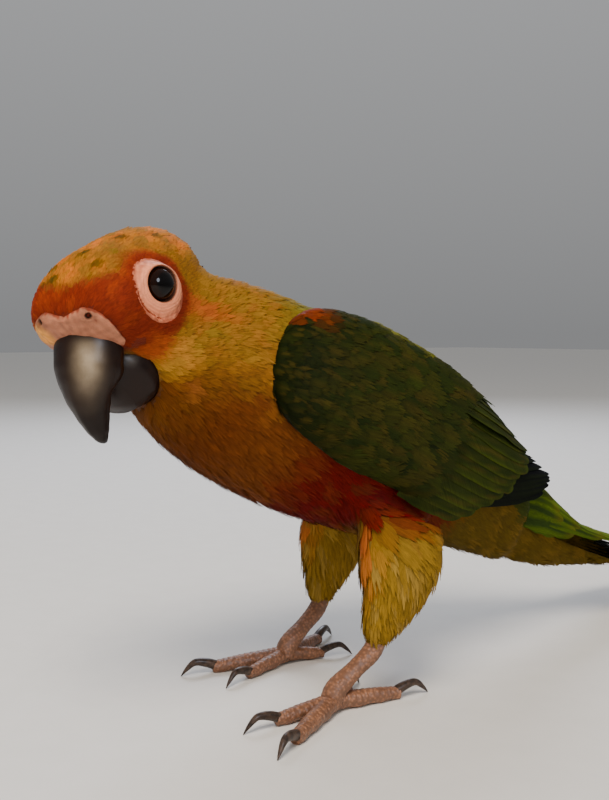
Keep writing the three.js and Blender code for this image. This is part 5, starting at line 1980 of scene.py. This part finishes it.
class CONURE_OT_legs(bpy.types.Operator):
    """Scaled shanks and toes, and the dark curved claws"""

    bl_idname = "conure.legs"
    bl_label = "Legs"

    def execute(self, context):
        skin_scales, claw_horn = scale_skin_material(), horn_material("claw_horn")
        for name, (side, x, y, turn) in LEGS.items():
            ankle = (x + side * ANKLE[0], y + ANKLE[1], ANKLE[2])
            shank = [(ankle[0], ankle[1] + 3, ankle[2] + 6), ankle,
                     ((ankle[0] + x) / 2, (ankle[1] + y) / 2 + 0.6, 8.4),
                     (x, y + 0.6, 4.4), (x, y - 0.6, 1.6)]
            obj = closed_body(f"shank_{name}", *sweep(
                shank, SHANK_RADII, 80, 36, shank_relief))
            self.finish(obj, tone("leg"), skin_scales, "foot_skin", f"tarsus_{name}")
            for toe, out, reach, radius in TOES:
                heading = math.radians(turn + side * out)
                way = np.array([math.sin(heading), -math.cos(heading)])

                def at(d, z):
                    return (x + way[0] * d, y + way[1] * d, z)

                body = sweep([at(reach * share, high) for share, high, _ in TOE_LINE],
                             [radius * share for *_, share in TOE_LINE], 90, 32, toe_relief)
                obj = closed_body(f"scaled_toe_{name}_{toe}", *body)
                self.finish(obj, tone("leg"), skin_scales, "foot_skin", f"toe_{name}_{toe}")
                claw = sweep([at(reach + past, high) for past, high, _ in CLAW_LINE]
                             + [at(reach + CLAW_REACH, CLAW_TIP[0])],
                             [radius * share for *_, share in CLAW_LINE] + [CLAW_TIP[1]], 40, 20)
                obj = closed_body(f"curved_claw_{name}_{toe}", *claw)
                self.finish(obj, CLAW_WARMTH, claw_horn, "claw_horn",
                            f"claw_{name}_{toe}")
        return {"FINISHED"}

    @staticmethod
    def finish(obj, colour, material, slot, node):
        """Paints and finishes one piece of a leg, a little uneven in its tone."""
        p = bird_points(obj)
        paint(obj.data, colour * (1 + 0.14 * noise(p, "leg_tone"))[:, None])
        finish_piece(obj, material, slot, (node,))


# Studio

# Joint of the near foot: its place on the bird, its pixel in the photograph and its depth in metres
FOOT_JOINT = (17, 0, 4)
FOOT_PIXEL = (333, 693)
FOOT_DEPTH = 0.211
PHOTO_SIZE = (609, 800)
FOCAL_PIXELS = 950
CAMERA_AZIMUTH = 55
CAMERA_DOWN = 4
SENSOR_WIDTH = 36
FLOOR_SIZE = 8
# Place that the lights are turned to
LIT_PLACE = (0, -0.03, 0.06)

# Lights: place, size, tone, and whether each lights surfaces and is mirrored in gloss
LIGHTS = {
    "key": ((0.3, -0.36, 0.7), 0.4, "warm_light", True, False),
    "fill": ((0.75, -0.42, 0.22), 0.6, "warm_light", True, False),
    "rim": ((-0.5, 0.3, 0.55), 0.4, "cool_light", True, True),
    "glint": ((0.42, -0.12, 0.28), 0.18, "cool_light", False, True),
}


class CONURE_OT_studio(bpy.types.Operator):
    """Pale floor, soft lights and the camera at the photograph's angle"""

    bl_idname = "conure.studio"
    bl_label = "Studio"

    def execute(self, context):
        studio = context.scene.conure_studio
        bpy.ops.mesh.primitive_plane_add(size=FLOOR_SIZE)
        floor = context.object
        floor.name = "studio_floor"
        p = mesh_points(floor) * 1000 + np.array([0, 0, -0.05])
        set_points(floor, p - SHIFT * np.array([0, 0, 1]))
        floor.data.materials.append(floor_material())
        self.air(context, studio.air)
        for name, row in LIGHTS.items():
            self.light(name, getattr(studio, name), *row)
        self.camera(context)
        return {"FINISHED"}

    @staticmethod
    def air(context, strength):
        """Pale light from all round, which meets the far floor at the horizon in one tone."""
        world = bpy.data.worlds.new("studio_air")
        context.scene.world = world
        world.use_nodes = True
        tree = world.node_tree
        background = tree.nodes["Background"]
        background.inputs["Color"].default_value = (*tone("air"), 1)
        place = add_node(tree, "ShaderNodeTexCoord")
        split = add_node(tree, "ShaderNodeSeparateXYZ", links={0: place.outputs["Generated"]})
        level = add_node(tree, "ShaderNodeMapRange",
                         {"From Max": 0.4, "To Min": 0.68 * strength, "To Max": 1.15 * strength},
                         {"Value": split.outputs["Z"]})
        tree.links.new(level.outputs["Result"], background.inputs["Strength"])

    @staticmethod
    def light(name, power, place, size, colour, lights_surfaces, shows_in_gloss):
        """One round soft light, turned to the bird."""
        bpy.ops.object.light_add(type="AREA", location=place)
        lamp = bpy.context.object
        lamp.name = name + "_light"
        lamp.data.shape = "DISK"
        lamp.data.size = size
        lamp.data.energy = power
        lamp.data.color = tone(colour)
        lamp.visible_diffuse = lights_surfaces
        lamp.visible_glossy = shows_in_gloss
        aim = Vector(LIT_PLACE) - Vector(place)
        lamp.rotation_euler = aim.to_track_quat("-Z", "Y").to_euler()

    @staticmethod
    def camera(context):
        """The camera, placed so that the near foot falls on its place in the photograph."""
        turn, down = math.radians(CAMERA_AZIMUTH), math.radians(CAMERA_DOWN)
        ahead = Vector((-math.sin(turn) * math.cos(down), math.cos(turn) * math.cos(down),
                        -math.sin(down)))
        right = Vector((math.cos(turn), math.sin(turn), 0))
        high = right.cross(ahead)
        x = (FOOT_PIXEL[0] - PHOTO_SIZE[0] / 2) / FOCAL_PIXELS * FOOT_DEPTH
        y = (PHOTO_SIZE[1] / 2 - FOOT_PIXEL[1]) / FOCAL_PIXELS * FOOT_DEPTH
        foot = Vector(to_metres(FOOT_JOINT))
        bpy.ops.object.camera_add(location=foot - ahead * FOOT_DEPTH - right * x - high * y)
        camera = context.object
        camera.rotation_euler = ahead.to_track_quat("-Z", "Y").to_euler()
        camera.data.sensor_width = SENSOR_WIDTH
        camera.data.lens = SENSOR_WIDTH * FOCAL_PIXELS / PHOTO_SIZE[1]
        camera.data.clip_start = 0.005
        context.scene.camera = camera


# Add-on


class ConureColours(bpy.types.PropertyGroup):
    """Tones of plumage, bare skin, eyes, horn and studio"""

    __annotations__ = {
        key: FloatVectorProperty(
            name=key.replace("_", " ").capitalize(), default=linear(code), min=0, max=1,
            description="Tone named " + key.replace("_", " "), subtype="COLOR")
        for key, code in PALETTE.items()
    }


class ConureCoat(bpy.types.PropertyGroup):
    """Sizes of the skin and the coat"""

    skin_grain: FloatProperty(
        name="Skin grain", description="Size of the skin's faces", default=0.0012,
        min=0.0006, max=0.004, unit="LENGTH", precision=4)
    density: FloatProperty(
        name="Density", description="Feathers for each length of skin", default=1.0,
        min=0.3, max=2.0, subtype="FACTOR")
    fluff: FloatProperty(
        name="Fluff", description="How far loose barbs stand out", default=1.0, min=0, max=3,
        subtype="FACTOR")


class ConureStudio(bpy.types.PropertyGroup):
    """Power of the studio's lights"""

    key: FloatProperty(name="Key", description="Key light", default=7.0, min=0, unit="POWER")
    fill: FloatProperty(name="Fill", description="Fill light", default=1.8, min=0, unit="POWER")
    rim: FloatProperty(name="Rim", description="Rim light", default=4.0, min=0, unit="POWER")
    glint: FloatProperty(
        name="Glint", description="Small light mirrored in eye and bill", default=1.6, min=0,
        unit="POWER")
    air: FloatProperty(name="Air", description="Light from all round", default=0.42, min=0)


STEPS = (CONURE_OT_skin, CONURE_OT_head_coat, CONURE_OT_body_coat, CONURE_OT_thigh_coat,
         CONURE_OT_wings, CONURE_OT_tail, CONURE_OT_eyes, CONURE_OT_bare_face, CONURE_OT_bill,
         CONURE_OT_legs, CONURE_OT_studio)


class CONURE_PT_panel(bpy.types.Panel):
    """Sidebar panel of the conure model"""

    bl_idname = "CONURE_PT_panel"
    bl_label = "Conure"
    bl_space_type = "VIEW_3D"
    bl_region_type = "UI"
    bl_category = "Conure"

    def draw(self, context):
        for name in GROUPS:
            group = getattr(context.scene, name)
            box = self.layout.box()
            for key in group.__annotations__:
                box.prop(group, key)
        for step_class in STEPS:
            self.layout.operator(step_class.bl_idname)


GROUPS = {"conure_coat": ConureCoat, "conure_studio": ConureStudio, "conure_colours": ConureColours}
CLASSES = (*GROUPS.values(), *STEPS, CONURE_PT_panel)


def register():
    """Registers the classes and hangs their settings on the scene."""
    for kind in CLASSES:
        bpy.utils.register_class(kind)
    for name, kind in GROUPS.items():
        setattr(bpy.types.Scene, name, PointerProperty(type=kind))


def unregister():
    """Takes the settings and the classes away again."""
    for name in GROUPS:
        delattr(bpy.types.Scene, name)
    for kind in reversed(CLASSES):
        bpy.utils.unregister_class(kind)


def main():
    """Builds the whole model."""
    register()
    for step_class in STEPS:
        getattr(bpy.ops.conure, step_class.bl_idname.split(".")[1])()


if __name__ == "__main__":
    main()
